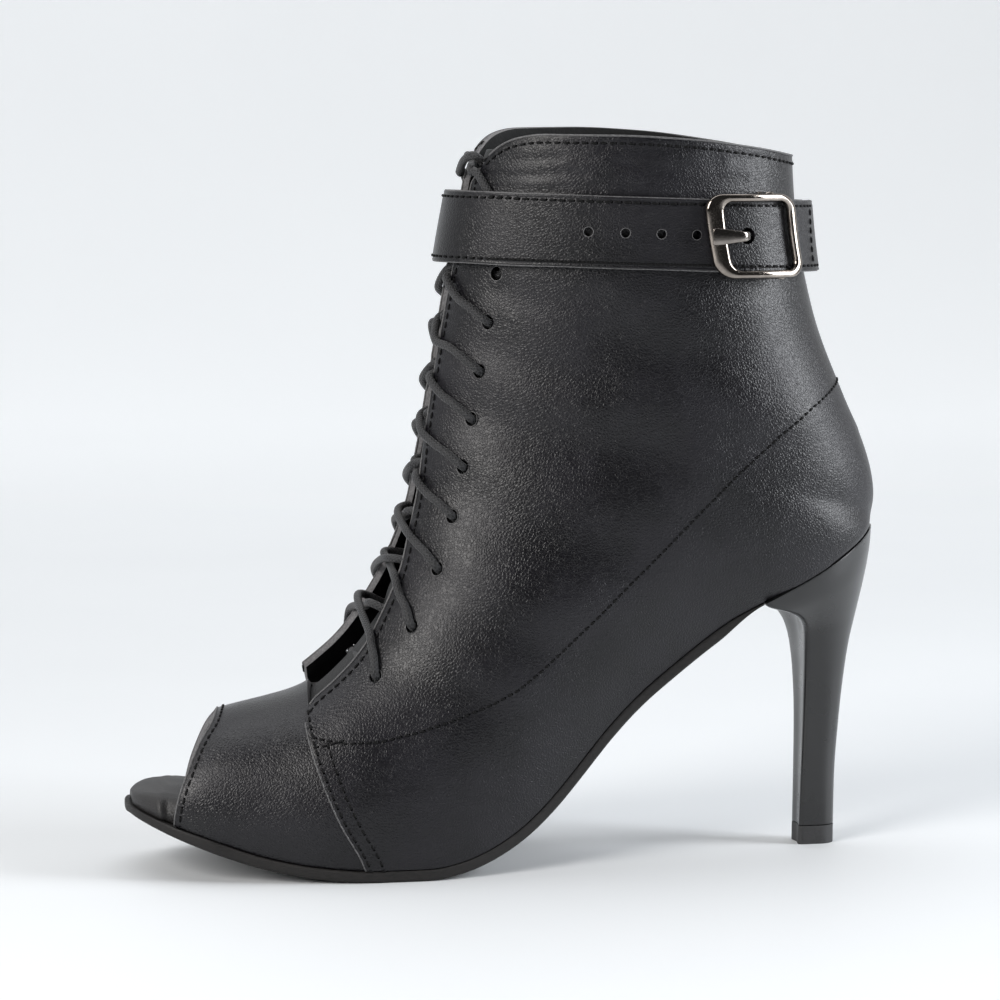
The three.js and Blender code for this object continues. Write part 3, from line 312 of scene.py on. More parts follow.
def last_normal(v, u):
    inside = np.clip(u, -0.992, 0.992)
    later = last_point(np.minimum(np.asarray(v) + NORMAL_STEP, LAST_SECTION), inside)
    sooner = last_point(np.maximum(np.asarray(v) - NORMAL_STEP, 0), inside)
    onward = last_point(v, inside + NORMAL_STEP / 4)
    backward = last_point(v, inside - NORMAL_STEP / 4)
    normal = np.cross(later - sooner, onward - backward)
    at_back = (np.abs(u) > 0.999) & (on_sole(v) < 0.5)
    normal[..., 1] = np.where(at_back, 0, normal[..., 1])
    return unit(normal)


def shell_point(v, u, offset):
    return last_point(v, u) + last_normal(v, u) * np.asarray(offset, float)[..., None]


print("front of the collar in mm:", np.round(last_point(20, 0.0), 1))

# %% [markdown]
# Every curved panel starts as a flat grid from bmesh. Its points are then moved: a function takes each
# point's two shares, from 0 to 1, and gives its place on the boot. A grid that closes on itself has its
# doubles merged, and the faces are turned outwards before any wall gets its thickness.

# %% From a grid to a panel
def new_piece(name, bm, *materials):
    """Makes the bmesh an object at the origin, with its faces shaded smooth."""
    mesh = bpy.data.meshes.new(name)
    bm.to_mesh(mesh)
    bm.free()
    mesh.shade_smooth()
    for material in materials:
        mesh.materials.append(material)
    piece = bpy.data.objects.new(name, mesh)
    bpy.context.scene.collection.objects.link(piece)
    return piece


def face_away(bm, inside):
    """Turns the faces of an open panel away from a point inside the boot, in millimetres."""
    middle = Vector(inside) * MM
    away = sum((f.calc_center_median() - middle).dot(f.normal) * f.calc_area() for f in bm.faces)
    if away < 0:
        bmesh.ops.reverse_faces(bm, faces=bm.faces)


def grid_mesh(columns, rows, place, size=(1.0, 1.0), closed=False, filled=False, inside=None):
    """A grid bent by place(a, b), which gives millimetres. The UV map is in metres of the given size."""
    bm = bmesh.new()
    bmesh.ops.create_grid(bm, x_segments=columns, y_segments=rows, size=0.5)
    shares = np.array([v.co[:2] for v in bm.verts]) + 0.5
    places = place(shares[:, 0], shares[:, 1]) * MM
    uv = bm.loops.layers.uv.new("surface")
    for face in bm.faces:
        for loop in face.loops:
            a, b = shares[loop.vert.index]
            loop[uv].uv = (a * size[0] * MM, b * size[1] * MM)
    for vert, co in zip(bm.verts, places):
        vert.co = co
    if closed:
        bmesh.ops.remove_doubles(bm, verts=bm.verts, dist=0.004 * MM)
    if filled:
        rims = [e for e in bm.edges if e.is_boundary]
        bmesh.ops.holes_fill(bm, edges=rims, sides=0)
        bmesh.ops.triangulate(bm, faces=[f for f in bm.faces if len(f.verts) > 4])
    bmesh.ops.recalc_face_normals(bm, faces=bm.faces)
    if inside:
        face_away(bm, inside)
    return bm


print("grids are ready")

# %% [markdown]
# Walls and rounded edges come from modifiers, which are applied at once so that later steps see the
# finished leather. A place where a line crosses an edge is found by halving its range again and again.

# %% Walls, edges and seats
def append_mesh(bm, other):
    """Adds one bmesh to another and frees it."""
    mesh = bpy.data.meshes.new("part")
    other.to_mesh(mesh)
    other.free()
    bm.from_mesh(mesh)
    bpy.data.meshes.remove(mesh)


def finish_modifiers(piece):
    """Replaces the piece's mesh by what its modifiers make of it."""
    depsgraph = bpy.context.evaluated_depsgraph_get()
    mesh = bpy.data.meshes.new_from_object(piece.evaluated_get(depsgraph))
    piece.modifiers.clear()
    piece.data = mesh
    return piece


def add_wall(piece, thickness, rim_first=2):
    """Thickness goes inwards. The inner face takes the second material and the rim the third."""
    wall = piece.modifiers.new("wall", "SOLIDIFY")
    wall.thickness = thickness * MM
    wall.offset = -1
    wall.use_even_offset = False
    wall.material_offset = 1
    wall.material_offset_rim = rim_first
    return wall


def add_bevel(piece, width, angle=50, segments=2):
    bevel = piece.modifiers.new("soft edge", "BEVEL")
    bevel.width = width * MM
    bevel.segments = segments
    bevel.limit_method = "ANGLE"
    bevel.angle_limit = math.radians(angle)
    bevel.profile = 0.5
    bevel.harden_normals = False
    return bevel


def seat(piece, slot, *nodes):
    """Rides on the boot's one body and stands for its solids, which it hides. Its slot is not used."""
    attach(piece, "root")
    if nodes:
        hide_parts(*nodes)
    triangles = sum(len(p.vertices) - 2 for p in piece.data.polygons)
    print(piece.name, "has", triangles, "triangles")
    return piece


def crossing(test, low, high):
    """Where test turns from negative to positive, found by halving, for many points at once."""
    for _ in range(30):
        middle = (low + high) / 2
        past = test(middle) > 0
        low, high = np.where(past, low, middle), np.where(past, middle, high)
    return (low + high) / 2


print("helpers for panels are ready")

# %% [markdown]
# Leather is never quite smooth: a boot that has been laced and bent keeps soft troughs across the ankle
# and fine creases under the collar. Each is placed in the boot's own side view, in millimetres,
# with its half width and depth, and a low ridge swells on both sides of it.

# %% Creases placed one by one
# side (-1 outer, 1 inner), points of the crease as x and z, half width, depth
CREASES = [
    (-1, [(24, 200), (34, 198.5), (46, 199.5)], 1.3, 0.22),
    (-1, [(24, 196), (33, 194.6), (44, 195.4), (52, 194.6)], 1.5, 0.26),
    (-1, [(30, 191.5), (42, 190.8), (56, 191.8)], 1.2, 0.18),
    (-1, [(58, 203), (68, 201.2), (80, 201.8)], 1.6, 0.22),
    (-1, [(62, 198.4), (75, 196.6), (90, 197.6)], 1.7, 0.28),
    (-1, [(70, 193.6), (84, 192.4), (98, 193.8)], 1.5, 0.22),
    (-1, [(88, 200.4), (98, 199), (108, 199.4)], 1.5, 0.2),
    (-1, [(30, 163), (42, 160), (56, 160.5)], 3.2, 0.3),
    (-1, [(27, 146), (40, 141), (56, 139)], 5, 0.45),
    (-1, [(60, 150), (80, 143), (104, 143), (118, 150)], 8, 0.8),
    (-1, [(24, 128), (38, 121), (56, 117), (74, 118)], 7, 0.75),
    (-1, [(19, 106), (32, 96), (48, 90), (62, 90)], 8, 0.8),
    (-1, [(10, 84), (22, 72), (36, 65), (50, 64)], 6.5, 0.6),
    (-1, [(-2, 62), (10, 53), (24, 48)], 5, 0.4),
    (-1, [(86, 128), (100, 120), (116, 118), (130, 124)], 6, 0.45),
    (-1, [(-60, 31), (-48, 27), (-36, 26)], 5, 0.3),
    (-1, [(-40, 38), (-30, 33), (-25, 26)], 4, 0.25),
    (1, [(24, 199), (36, 197), (50, 198)], 1.5, 0.26),
    (1, [(58, 200), (74, 198), (92, 199)], 1.8, 0.3),
    (1, [(66, 193), (82, 191.4), (100, 193)], 1.6, 0.24),
    (1, [(27, 150), (44, 144), (62, 144)], 6, 0.6),
    (1, [(64, 152), (84, 146), (106, 147)], 8, 0.9),
    (1, [(22, 124), (38, 116), (58, 113), (78, 116)], 7, 0.85),
    (1, [(16, 102), (30, 92), (46, 87), (60, 88)], 8, 0.85),
    (1, [(8, 80), (20, 69), (36, 63)], 6.5, 0.6),
    (1, [(88, 126), (104, 119), (122, 119)], 6, 0.5),
]
WIDE_CREASE = 3          # half widths over this are troughs, which are kept shallower
TROUGH_SHARE = 0.65


def distance_to_line(points, line):
    """Side-view distance from each point to a line through a few places."""
    nearest = np.full(len(points), 1e9)
    for start, end in zip(line[:-1], line[1:]):
        a, b = np.array(start, float), np.array(end, float)
        run = b - a
        share = np.clip((points - a) @ run / (run @ run), 0, 1)
        nearest = np.minimum(nearest, np.linalg.norm(points - a - share[:, None] * run, axis=1))
    return nearest


def crease_depth(points, side):
    """How far the creases of one side push each point in. Negative is out."""
    side_view = points[:, [0, 2]]
    depth = np.zeros(len(points))
    for crease_side, line, width, deep in CREASES:
        if crease_side * side > 0:
            far = distance_to_line(side_view, line) / width
            shape = np.exp(-far ** 2) - 0.35 * np.exp(-((far - 1.9) / 0.9) ** 2)
            depth += deep * shape * (TROUGH_SHARE if width > WIDE_CREASE else 1.0)
    return depth


print("creases:", len(CREASES))

# %% [markdown]
# The upper is three panels on the last. The vamp covers the toes and stops at the toe opening. The two
# quarters lie a step proud of it, run up to the collar and meet in one seam at the heel. Where a panel
# ends is a line drawn in the side view, so the grid looks for the section at which it crosses that
# line, and its last row of points then lies exactly on the edge.

# %% Edges of the panels
FLARE_LATERAL, FLARE_MEDIAL = 2.6, 5.2
FLARE_START, FLARE_END_LATERAL, FLARE_END_MEDIAL = 4.5, 8.5, 10
CORNER_TURN = 0.075
CORNER_REACH = 0.75


def gap_turn(v, extra=0.0):
    """How far round its section the facing's edge lies, plus some millimetres."""
    widest = np.minimum(section["lateral"](v), section["medial"](v)) * BALL_WIDTH
    half = section["gap"](v) * BALL_WIDTH + extra
    angle = np.arcsin(np.clip(half / widest, 0, 1) ** (section["crown"](v) / 2))
    return angle / (np.pi / 2) * FRONT_SHARE


def quarter_offset(v, u):
    """The quarters' outer face: an even step off the last, with flared lower corners."""
    medial = np.asarray(u) > 0
    flare = np.where(medial, FLARE_MEDIAL, FLARE_LATERAL)
    end = np.where(medial, FLARE_END_MEDIAL, FLARE_END_LATERAL)
    lower = 1 - ease(FLARE_START, end, v)
    front = 1 - ease(0.22, 0.5, np.abs(u))
    return OVERLAP_STEP + flare * lower * front


def past_collar(point):
    """Positive above the collar, which is tilted a little towards the outer side."""
    up = point[..., 2] - COLLAR_HEIGHT
    level = COLLAR_HEIGHT + up * math.cos(COLLAR_TILT) - point[..., 1] * math.sin(COLLAR_TILT)
    return level - collar_z(point[..., 0])


def cut_x(point):
    """How far back a point lies, measured square to the slanting cuts of the toe and the quarters."""
    return point[..., 0] * math.cos(CUT_TURN) - point[..., 1] * math.sin(CUT_TURN)


def past_toe_edge(point, shift=0.0):
    return cut_x(point) - toe_edge_x(point[..., 2]) - shift


def past_quarter_edge(point, shift=0.0):
    return cut_x(point) - quarter_edge_x(point[..., 2]) - shift


corner_turn = float(gap_turn(THROAT_SECTION)) + CORNER_TURN
CORNER_SECTION = float(crossing(
    lambda v: past_quarter_edge(shell_point(v, -corner_turn, quarter_offset(v, -corner_turn))),
    np.array(2.5), np.array(8.0)))


def facing_turn(v):
    """The facing's edge, with its lower corner rounded off."""
    below = np.clip((CORNER_SECTION + CORNER_REACH - v) / CORNER_REACH, 0, 1)
    return gap_turn(v) + CORNER_TURN * (1 - np.sqrt(1 - below ** 2))


print("the quarters start at section", round(CORNER_SECTION, 2))

# %% [markdown]
# The vamp is one grid from the toe opening back to under the quarters. It goes round the foot from sole
# to sole, a step lower than the quarters that overlap it.

# %% Vamp
def stand_on_sole(points, v):
    """Keeps the lower edge of a panel just above the sole."""
    floor = bottom_height(x_to_along(points[:, 0])) + FIT
    points[:, 2] += np.maximum(floor - points[:, 2], 0) * on_sole(v)
    return points


def vamp_place(a, b):
    u = a * 2 - 1
    start = crossing(lambda v: past_toe_edge(last_point(v, u)), np.zeros(len(u)), np.full(len(u), 4.0))
    underlap = 1.5 + (VAMP_UNDERLAP * LAST_LENGTH - 1.5) * ease(0.16, 0.3, np.abs(u))
    end = crossing(lambda v: past_quarter_edge(last_point(v, u), underlap),
                   np.full(len(u), 2.0), np.full(len(u), 9.0))
    v = start + (end - start) * b
    points = last_point(v, u)
    normals = last_normal(v, u)
    for side in (-1, 1):
        here = u * side > 0
        points[here] -= normals[here] * crease_depth(points[here], side)[:, None]
    return stand_on_sole(points, v)


def make_vamp():
    bm = grid_mesh(150, 60, vamp_place, size=(130, 50), inside=(-20, 0, 5))
    vamp = new_piece("vamp", bm, leather, lining, raw_edge)
    add_wall(vamp, WALL)
    add_bevel(vamp, 0.35)
    return finish_modifiers(vamp)


print("vamp reaches", round(VAMP_UNDERLAP * LAST_LENGTH, 1), "mm under the quarters")

# %% [markdown]
# The quarters are two mirrored grids, from the facing at the front to the seam at the back. The seam's
# points are merged, and the heel's end is smoothed, where the sections turn from lying to standing.

# %% Quarters
HEEL_END_FROM = 90             # where the heel's end starts, as x
HEEL_END_HEIGHTS = (84, 122)
HEEL_END_ROUNDS = 36


def quarter_turn(v, a):
    edge = facing_turn(v)
    return edge + (1 - edge) * a


def quarter_ends(a, side):
    """The sections where a line up the quarter starts and ends."""
    def surface(v):
        u = side * quarter_turn(v, a)
        return shell_point(v, u, quarter_offset(v, u))
    start = crossing(lambda v: past_quarter_edge(surface(v)), np.full(len(a), 2.5), np.full(len(a), 9.0))
    end = crossing(lambda v: past_collar(surface(v)), np.full(len(a), 15.0), np.full(len(a), 21.0))
    return start, end


def quarter_place(a, b, side):
    start, end = quarter_ends(a, side)
    v = start + (end - start) * b
    u = side * quarter_turn(v, a)
    points = shell_point(v, u, quarter_offset(v, u))
    at_back = (a > 0.9999) & (on_sole(v) < 0.5)
    points[:, 1] = np.where(at_back, 0, points[:, 1])
    points -= last_normal(v, u) * (crease_depth(points, side) * (1 - ease(0.9, 1, a)))[:, None]
    return stand_on_sole(points, v)


def make_quarters():
    bm = grid_mesh(104, 170, lambda a, b: quarter_place(a, b, -1), size=(150, 190))
    inner = grid_mesh(104, 170, lambda a, b: quarter_place(a, b, 1), size=(150, 190))
    append_mesh(bm, inner)
    seam = [v for v in bm.verts if abs(v.co.y) < 0.01 * MM]
    bmesh.ops.remove_doubles(bm, verts=seam, dist=0.05 * MM)
    low, high = HEEL_END_HEIGHTS
    heel_end = [v for v in bm.verts if v.co.x > HEEL_END_FROM * MM and low * MM < v.co.z < high * MM
                and not v.is_boundary]
    for _ in range(HEEL_END_ROUNDS):
        bmesh.ops.smooth_vert(bm, verts=heel_end, factor=0.5, use_axis_x=True, use_axis_y=True,
                              use_axis_z=True)
    bmesh.ops.recalc_face_normals(bm, faces=bm.faces)
    face_away(bm, (65, 0, 110))
    quarters = new_piece("quarters", bm, leather, lining, raw_edge)
    add_wall(quarters, WALL)
    return finish_modifiers(quarters)


print("quarters end", COLLAR_HEIGHT, "mm up")

# %% [markdown]
# Some places are found by looking rather than by formula: the section at a certain distance along the
# front line, where the lace holes are, and the section at a certain height, where the strap runs.

# %% Lace holes
EYELET_ROWS = 10
EYELET_PITCH = 14
FIRST_EYELET = 19
EYELET_SETBACK = 10.5
EYELET_DIAMETER = 3.6
EYELET_STRETCH = 1.12

front_v = np.linspace(THROAT_SECTION, LAST_SECTION, 3400)
front_line = base_and_front(front_v)[1].T
front_walk = np.concatenate([[0], np.cumsum(np.linalg.norm(np.diff(front_line, axis=0), axis=1))])


def section_at_front(distance):
    return np.interp(distance, front_walk, front_v)


def eyelet_section(row):
    return section_at_front(FIRST_EYELET + np.asarray(row) * EYELET_PITCH)


def eyelet_turn(v):
    """Where a lace hole lies round its section, an even way behind the front line."""
    base, front = base_and_front(v)
    length = np.hypot(*(front - base)) * (1 - section["belly"](v))
    angle = np.arccos(np.clip(1 - EYELET_SETBACK / length, 0, 1) ** (section["crown"](v) / 2))
    return angle / (np.pi / 2) * FRONT_SHARE


def quarter_point(v, u, extra=0.0):
    """A place on the quarters' outer face, or some millimetres off it."""
    return shell_point(v, u, quarter_offset(v, u) + extra)


def eyelets():
    """Each lace hole's row, side, place and outward direction."""
    holes = []
    for row in range(EYELET_ROWS):
        v = float(eyelet_section(row))
        for side in (-1, 1):
            u = side * float(eyelet_turn(v))
            holes.append((row, side, quarter_point(v, u), last_normal(v, u)))
    return holes


print("lace holes:", len(eyelets()), "lowest at", np.round(eyelets()[0][2], 1))

# %% [markdown]
# The holes are cut by short round pins that pass through both layers. The quarters are then given a
# slightly rounded rim, so that cut edges catch the light as worn leather does.

# %% Cut the lace holes
def pin_at(bm, place, direction, diameter, length, stretch=1.0):
    """A round pin. Stretch lengthens it along the side view's up direction."""
    turn = Vector(direction).to_track_quat("Z", "Y").to_matrix().to_4x4()
    matrix = Matrix.Translation(Vector(place) * MM) @ turn @ Matrix.Diagonal((1, stretch, 1, 1))
    bmesh.ops.create_cone(bm, cap_ends=True, segments=28, radius1=diameter / 2 * MM,
                          radius2=diameter / 2 * MM, depth=length * MM, matrix=matrix)


def cut_holes(piece, pins):
    """Takes the pins' bmesh away from the piece."""
    bmesh.ops.recalc_face_normals(pins, faces=pins.faces)
    cutter = new_piece("pins", pins)
    cut = piece.modifiers.new("holes", "BOOLEAN")
    cut.operation = "DIFFERENCE"
    cut.solver = "EXACT"
    cut.object = cutter
    finish_modifiers(piece)
    bpy.data.objects.remove(cutter)
    return piece


def cut_eyelets(quarters):
    pins = bmesh.new()
    for _, _, place, outward in eyelets():
        pin_at(pins, place, outward, EYELET_DIAMETER, 7, EYELET_STRETCH)
    cut_holes(quarters, pins)
    add_bevel(quarters, 0.3, 60)
    return finish_modifiers(quarters)


print("lace holes are", EYELET_DIAMETER, "mm wide")

# %% [markdown]
# Closed forms such as the sole and the insole are made by one ring of points that changes along the
# boot. A ring is a short table: share of the half width, millimetres taken off it, and share of the
# thickness. The same function walks down the outer side and back up the inner side.

# %% Tongue
TONGUE_THICKNESS = 1.6
TONGUE_DROP = 4
TONGUE_UNDER_VAMP = 0.9
TONGUE_SPREAD = 0.32
TONGUE_DEPTH = 3.7
tongue_top = float(np.interp(COLLAR_HEIGHT - TONGUE_DROP, front_line[:, 1], front_v))


def tongue_place(a, b):
    v = THROAT_SECTION - TONGUE_UNDER_VAMP + (tongue_top - THROAT_SECTION + TONGUE_UNDER_VAMP) * b
    half = TONGUE_SPREAD - 0.05 * ease(tongue_top - 1.2, tongue_top, v)
    sewn = -WALL - 2 * FIT
    deep = sewn + (sewn + TONGUE_DEPTH) * -ease(THROAT_SECTION + 0.5, THROAT_SECTION + 3, v)
    pillow = 0.5 * np.sin(v * 5.1) * np.cos(np.pi * (a - 0.5)) * ease(6, 8, v)
    return shell_point(v, (a * 2 - 1) * half, deep + pillow)


def make_tongue():
    bm = grid_mesh(40, 150, tongue_place, size=(60, 160), inside=(75, 0, 90))
    tongue = new_piece("tongue_flap", bm, tongue_leather)
    add_wall(tongue, TONGUE_THICKNESS, 0).material_offset = 0
    add_bevel(tongue, 0.4)
    return seat(finish_modifiers(tongue), "tongue_leather", "tongue")


print("tongue ends at section", round(tongue_top, 1))

# %% [markdown]
# The insole is padded, so its top swells under the toes and its edge is round. The outsole is a thin
# sheet that gets thinner towards the toe and where it ends under the heel's breast.

# %% Insole and outsole
SOLE_END = 0.835
INSOLE_THICKNESS = 6.5
INSOLE_RING = [(0, 6, 1), (0.5, 6, 1), (1, 6, 1), (1, 3.2, 0.93), (1, 1.2, 0.7), (1, 0.1, 0.3),
               (1, 0.4, 0), (0, 0.4, 0)]
SOLE_RING = [(0, 0.3, 1), (1, 0.3, 1), (1, 0, 0.78), (1, 0, 0.22), (1, 0.8, 0), (0, 0.8, 0)]


def slope_factor(along):
    run = 0.004
    rise = bottom_height(along + run) - bottom_height(along - run)
    return np.hypot(1, rise / (2 * run * LAST_LENGTH))


def ring_values(rows, a, softness):
    """Side, width share, inset and height share for places round a ring: down one side, up the other."""
    rows = np.array(rows, float)
    share, inset, up = np.diff(rows, axis=0).T
    steps = np.hypot(share * 3, up) + np.abs(inset) / 4 + 0.3
    walk = np.concatenate([[0], np.cumsum(steps)]) / steps.sum()
    t = 1 - np.abs(2 * a - 1)
    side = np.where(a < 0.5, -1.0, 1.0)
    return side, *[smooth_curve(walk, rows[:, i], softness)(t) for i in range(3)]


def end_share(b):
    """Shares along a plate, closer together towards its two round ends."""
    return (1 - np.cos(np.pi * b)) / 2


def insole_place(a, b):
    along = 0.003 + 0.972 * end_share(b)
    side, share, inset, up = ring_values(INSOLE_RING, a, 0.012)
    inside = ease(0.033, 0.045, along)
    half = plan_width(along, side) - FIT - (WALL + 2 * FIT) * inside
    dome = np.clip(1 - (along + 0.004) / 0.1, 0, 1)
    thick = INSOLE_THICKNESS * (1 - 0.4 * ease(0.25, 0.6, along)) * np.sqrt(1 - dome ** 2)
    y = side * share * np.maximum(half - inset, 0.5)
    x = along_to_x(along)
    seat_height = bottom_height(along) + FIT * slope_factor(along)
    folds = 0.06 * np.sin(x * 0.9 + 0.9 * np.sin(y * 0.3) + 1) * np.exp(-((x + 56) / 12) ** 2)
    folds += 0.06 * np.sin(x * 1.9 + y * 0.25) * np.exp(-((x + 60) / 9) ** 2)
    worn = 0.3 * np.exp(-((x + 52) / 12) ** 2 - (y / 14) ** 2)
    swell = 4.2 * np.exp(-((x + 52) / 13) ** 2) * np.maximum(0, 1 - (y / 26) ** 2)
    top = ease(0.3, 0.95, up)
    return np.stack([x, y, seat_height + thick * up + (swell + folds - worn) * top], -1)


def outsole_place(a, b):
    tip = -SOLE_EDGE / LAST_LENGTH + 0.0008
    along = tip + (SOLE_END - tip) * end_share(b)
    side, share, inset, up = ring_values(SOLE_RING, a, 0.003)
    taper = (1 - 0.75 * ease(SOLE_END - 0.06, SOLE_END, along)) * (0.68 + 0.32 * ease(-0.01, 0.1, along))
    half = np.maximum(plan_width(along, side, SOLE_EDGE) - inset, 0.5)
    deep = SOLE_THICKNESS * slope_factor(along) * taper * (1 - up)
    return np.stack([along_to_x(along), side * share * half, bottom_height(along) - deep], -1)


def make_insole():
    bm = grid_mesh(120, 150, insole_place, size=(140, 240), closed=True, filled=True)
    insole = new_piece("padded_insole", bm, insole_leather)
    return seat(insole, "insole_leather", "insole")


def make_outsole():
    bm = grid_mesh(88, 130, outsole_place, size=(150, 240), closed=True, filled=True)
    sole = new_piece("sole_sheet", bm, sole_rubber)
    return seat(sole, "sole_rubber", "outsole")


print("outsole ends", round(float(along_to_x(SOLE_END)), 1), "mm along")

# %% [markdown]
# The heel is a stack of slices. Each slice has a round back, nearly flat sides and a hollow breast, and
# the slices tip forward as they widen into the seat. Each line up the heel ends where it meets the
# bottom of the boot.

# %% Heel
HEEL_COLUMNS = "low high front back width"
HEEL_SLICES = [
    (0.000, 0.000, -0.017, 0.000, 0.96), (0.200, 0.200, 0.006, 0.020, 1.10),
    (0.420, 0.420, 0.022, 0.162, 1.36), (0.540, 0.540, 0.011, 0.283, 1.68),
    (0.625, 0.630, -0.017, 0.404, 2.12), (0.680, 0.700, -0.067, 0.535, 2.70),
    (0.715, 0.765, -0.161, 0.657, 3.40), (0.740, 0.830, -0.317, 0.778, 4.10),
    (0.758, 0.895, -0.556, 0.889, 4.75), (0.775, 0.955, -0.844, 0.970, 5.15),
    (0.820, 1.020, -1.000, 1.000, 5.28),
]
TIP_HEIGHT = 5.4
STEM_WIDTH = 9.6
HEEL_BACK_X = LAST_LENGTH - TOE_REACH - 8.4
BREAST_X = HEEL_BACK_X - 11
HEEL_REACH, HEEL_RAKE = 18, 9.9
heel_curve = table_curves(HEEL_SLICES, HEEL_COLUMNS, "high", 0.012)


def heel_point(height, a):
    """A place on the heel: height is that of its back, a runs from the breast round and back to it."""
    high = height / SEAT_HEIGHT
    front = BREAST_X + heel_curve["front"](high) * HEEL_REACH
    back = HEEL_BACK_X + heel_curve["back"](high) * HEEL_RAKE
    half = heel_curve["width"](high) * STEM_WIDTH / 2
    bend = np.minimum(half * 1.05, (back - front) * 0.72)
    corner = np.minimum(1.4, half * 0.2)
    hollow = (0.6 + 3 * ease(0.6, 0.9, high)) * 0.8
    t = np.abs(2 * a - 1)
    side = np.where(a < 0.5, -1.0, 1.0)
    turn = np.clip((1 - t) / 0.48, 0, 1) * np.pi / 2
    flank = np.clip((0.52 - t) / 0.26, 0, 1)
    edge = np.clip((0.26 - t) / 0.08, 0, 1) * np.pi / 2
    breast = np.clip((0.18 - t) / 0.18, 0, 1)
    x = back - bend + bend * np.cos(turn)
    x = np.where(t < 0.52, x + (front + corner - back + bend) * flank, x)
    x = np.where(t < 0.26, front + corner * (1 - np.sin(edge)), x)
    x = np.where(t < 0.18, front + hollow * ease(0, 1, breast), x)
    y = half * np.sin(turn)
    y = np.where(t < 0.26, half - corner * (1 - np.cos(edge)), y)
    y = np.where(t < 0.18, (half - corner) * (1 - breast), y)
    low = np.where(high > 0.5, heel_curve["low"](high) * SEAT_HEIGHT, height)
    z = height - (back - x) * (height - low) / (back - front)
    return np.stack([x, side * y, z], -1)


def heel_place(a, b):
    start = np.full(len(a), TIP_HEIGHT + FIT)

    def past_seat(height):
        points = heel_point(height, a)
        return points[:, 2] - bottom_height(x_to_along(points[:, 0])) + FIT

    end = crossing(past_seat, np.full(len(a), SEAT_HEIGHT * 0.6), np.full(len(a), SEAT_HEIGHT * 1.02))
    points = heel_point(start + (end - start) * b, a)
    points[:, 0] = np.maximum(points[:, 0], along_to_x(SOLE_END) + FIT)
    points[:, 2] = np.minimum(points[:, 2], bottom_height(x_to_along(points[:, 0])) - FIT)
    return points


def make_heel():
    bm = grid_mesh(96, 110, heel_place, size=(70, 95), closed=True, filled=True)
    heel = new_piece("stiletto_heel", bm, heel_plastic)
    add_bevel(heel, 0.3, 50)
    return seat(finish_modifiers(heel), "heel_plastic", "heel")


def make_tip():
    bm = grid_mesh(72, 10, lambda a, b: heel_point(b * TIP_HEIGHT, a), closed=True, filled=True)
    tip = new_piece("heel_tip", bm, tip_rubber)
    add_bevel(tip, 0.45, 50, 3)
    return seat(finish_modifiers(tip), "tip_rubber", "heel_top_piece")


print("heel is", STEM_WIDTH, "mm wide at its foot")

# %% [markdown]
# A cord is a tube swept along a smooth line. The line passes through a few places, and the tube's ring
# is carried along it without twisting. The lace's braid follows the tube's own UV map.

# %% Cords
LACE_DIAMETER = 2.3
LACE_REST = LACE_DIAMETER / 2 + 2 * FIT


def smooth_path(places, step):
    """A round line through the places, with points an even step apart."""
    p = np.array(places, float)
    ends = np.vstack([2 * p[0] - p[1], p, 2 * p[-1] - p[-2]])
    t = np.linspace(0, 1, 24, endpoint=False)[:, None]
    pieces = []
    for i in range(len(p) - 1):
        a, b, c, d = ends[i:i + 4]
        bend = 2 * a - 5 * b + 4 * c - d + t * (3 * (b - c) + d - a)
        pieces.append(b + 0.5 * t * (c - a + t * bend))
    line = np.vstack(pieces + [p[-1:]])
    walk = np.concatenate([[0], np.cumsum(np.linalg.norm(np.diff(line, axis=0), axis=1))])
    even = np.linspace(0, walk[-1], max(3, int(walk[-1] / step)) + 1)
    return np.stack([np.interp(even, walk, line[:, i]) for i in range(3)], -1)


def line_length(line):
    return np.linalg.norm(np.diff(line, axis=0), axis=1).sum()


def carried_frames(line):
    """Two directions square to the line at each point, turning as little as possible."""
    tangents = unit(np.gradient(line, axis=0))
    side = unit(np.cross(tangents[0], (0.3, 0.2, 1)))
    sides = []
    for tangent in tangents:
        side = unit(side - tangent * (side @ tangent))
        sides.append(side)
    sides = np.array(sides)
    return sides, np.cross(tangents, sides)


def tube_mesh(line, widths, heights=None, around=14, closed=False):
    """A tube with its width and height at each point of the line. Its ends are filled."""
    count = len(line)
    widths = np.broadcast_to(widths, count)
    heights = widths if heights is None else np.broadcast_to(heights, count)
    across, up = carried_frames(line)

    def place(a, b):
        row = np.rint(b * (count - 1)).astype(int)
        angle = a * 2 * np.pi
        reach = across[row] * (np.cos(angle) * widths[row] / 2)[:, None]
        return line[row] + reach + up[row] * (np.sin(angle) * heights[row] / 2)[:, None]

    size = (np.mean(widths) * np.pi, line_length(line))
    return grid_mesh(around, count - 1, place, size, True, not closed)


print("the lace is", LACE_DIAMETER, "mm thick")

# %% [markdown]
# The lace is a single cord. It starts across the inside at the lowest two holes, and each half climbs in
# turn: out of a hole, over the facing's edge, across the gap and under the other facing. Where the
# halves meet, one lies over the other.

# %% Lace
LACE_PATH = dict(start=0.08, rise=0.3, edge=0.5, across=0.7, beyond=0.84, near=0.88)
TOP_LACE_PATH = dict(start=0.7, rise=0.76, edge=0.84, across=1.0, beyond=1.1, near=0.3)
LACE_SWAY = (0.06, -0.05, 0.04, -0.03, 0.05, -0.04, 0.16, -0.1)
LACE_SINK = 0.6
UNDER_FACING = -WALL + OVERLAP_STEP - LACE_DIAMETER / 2 - 0.15


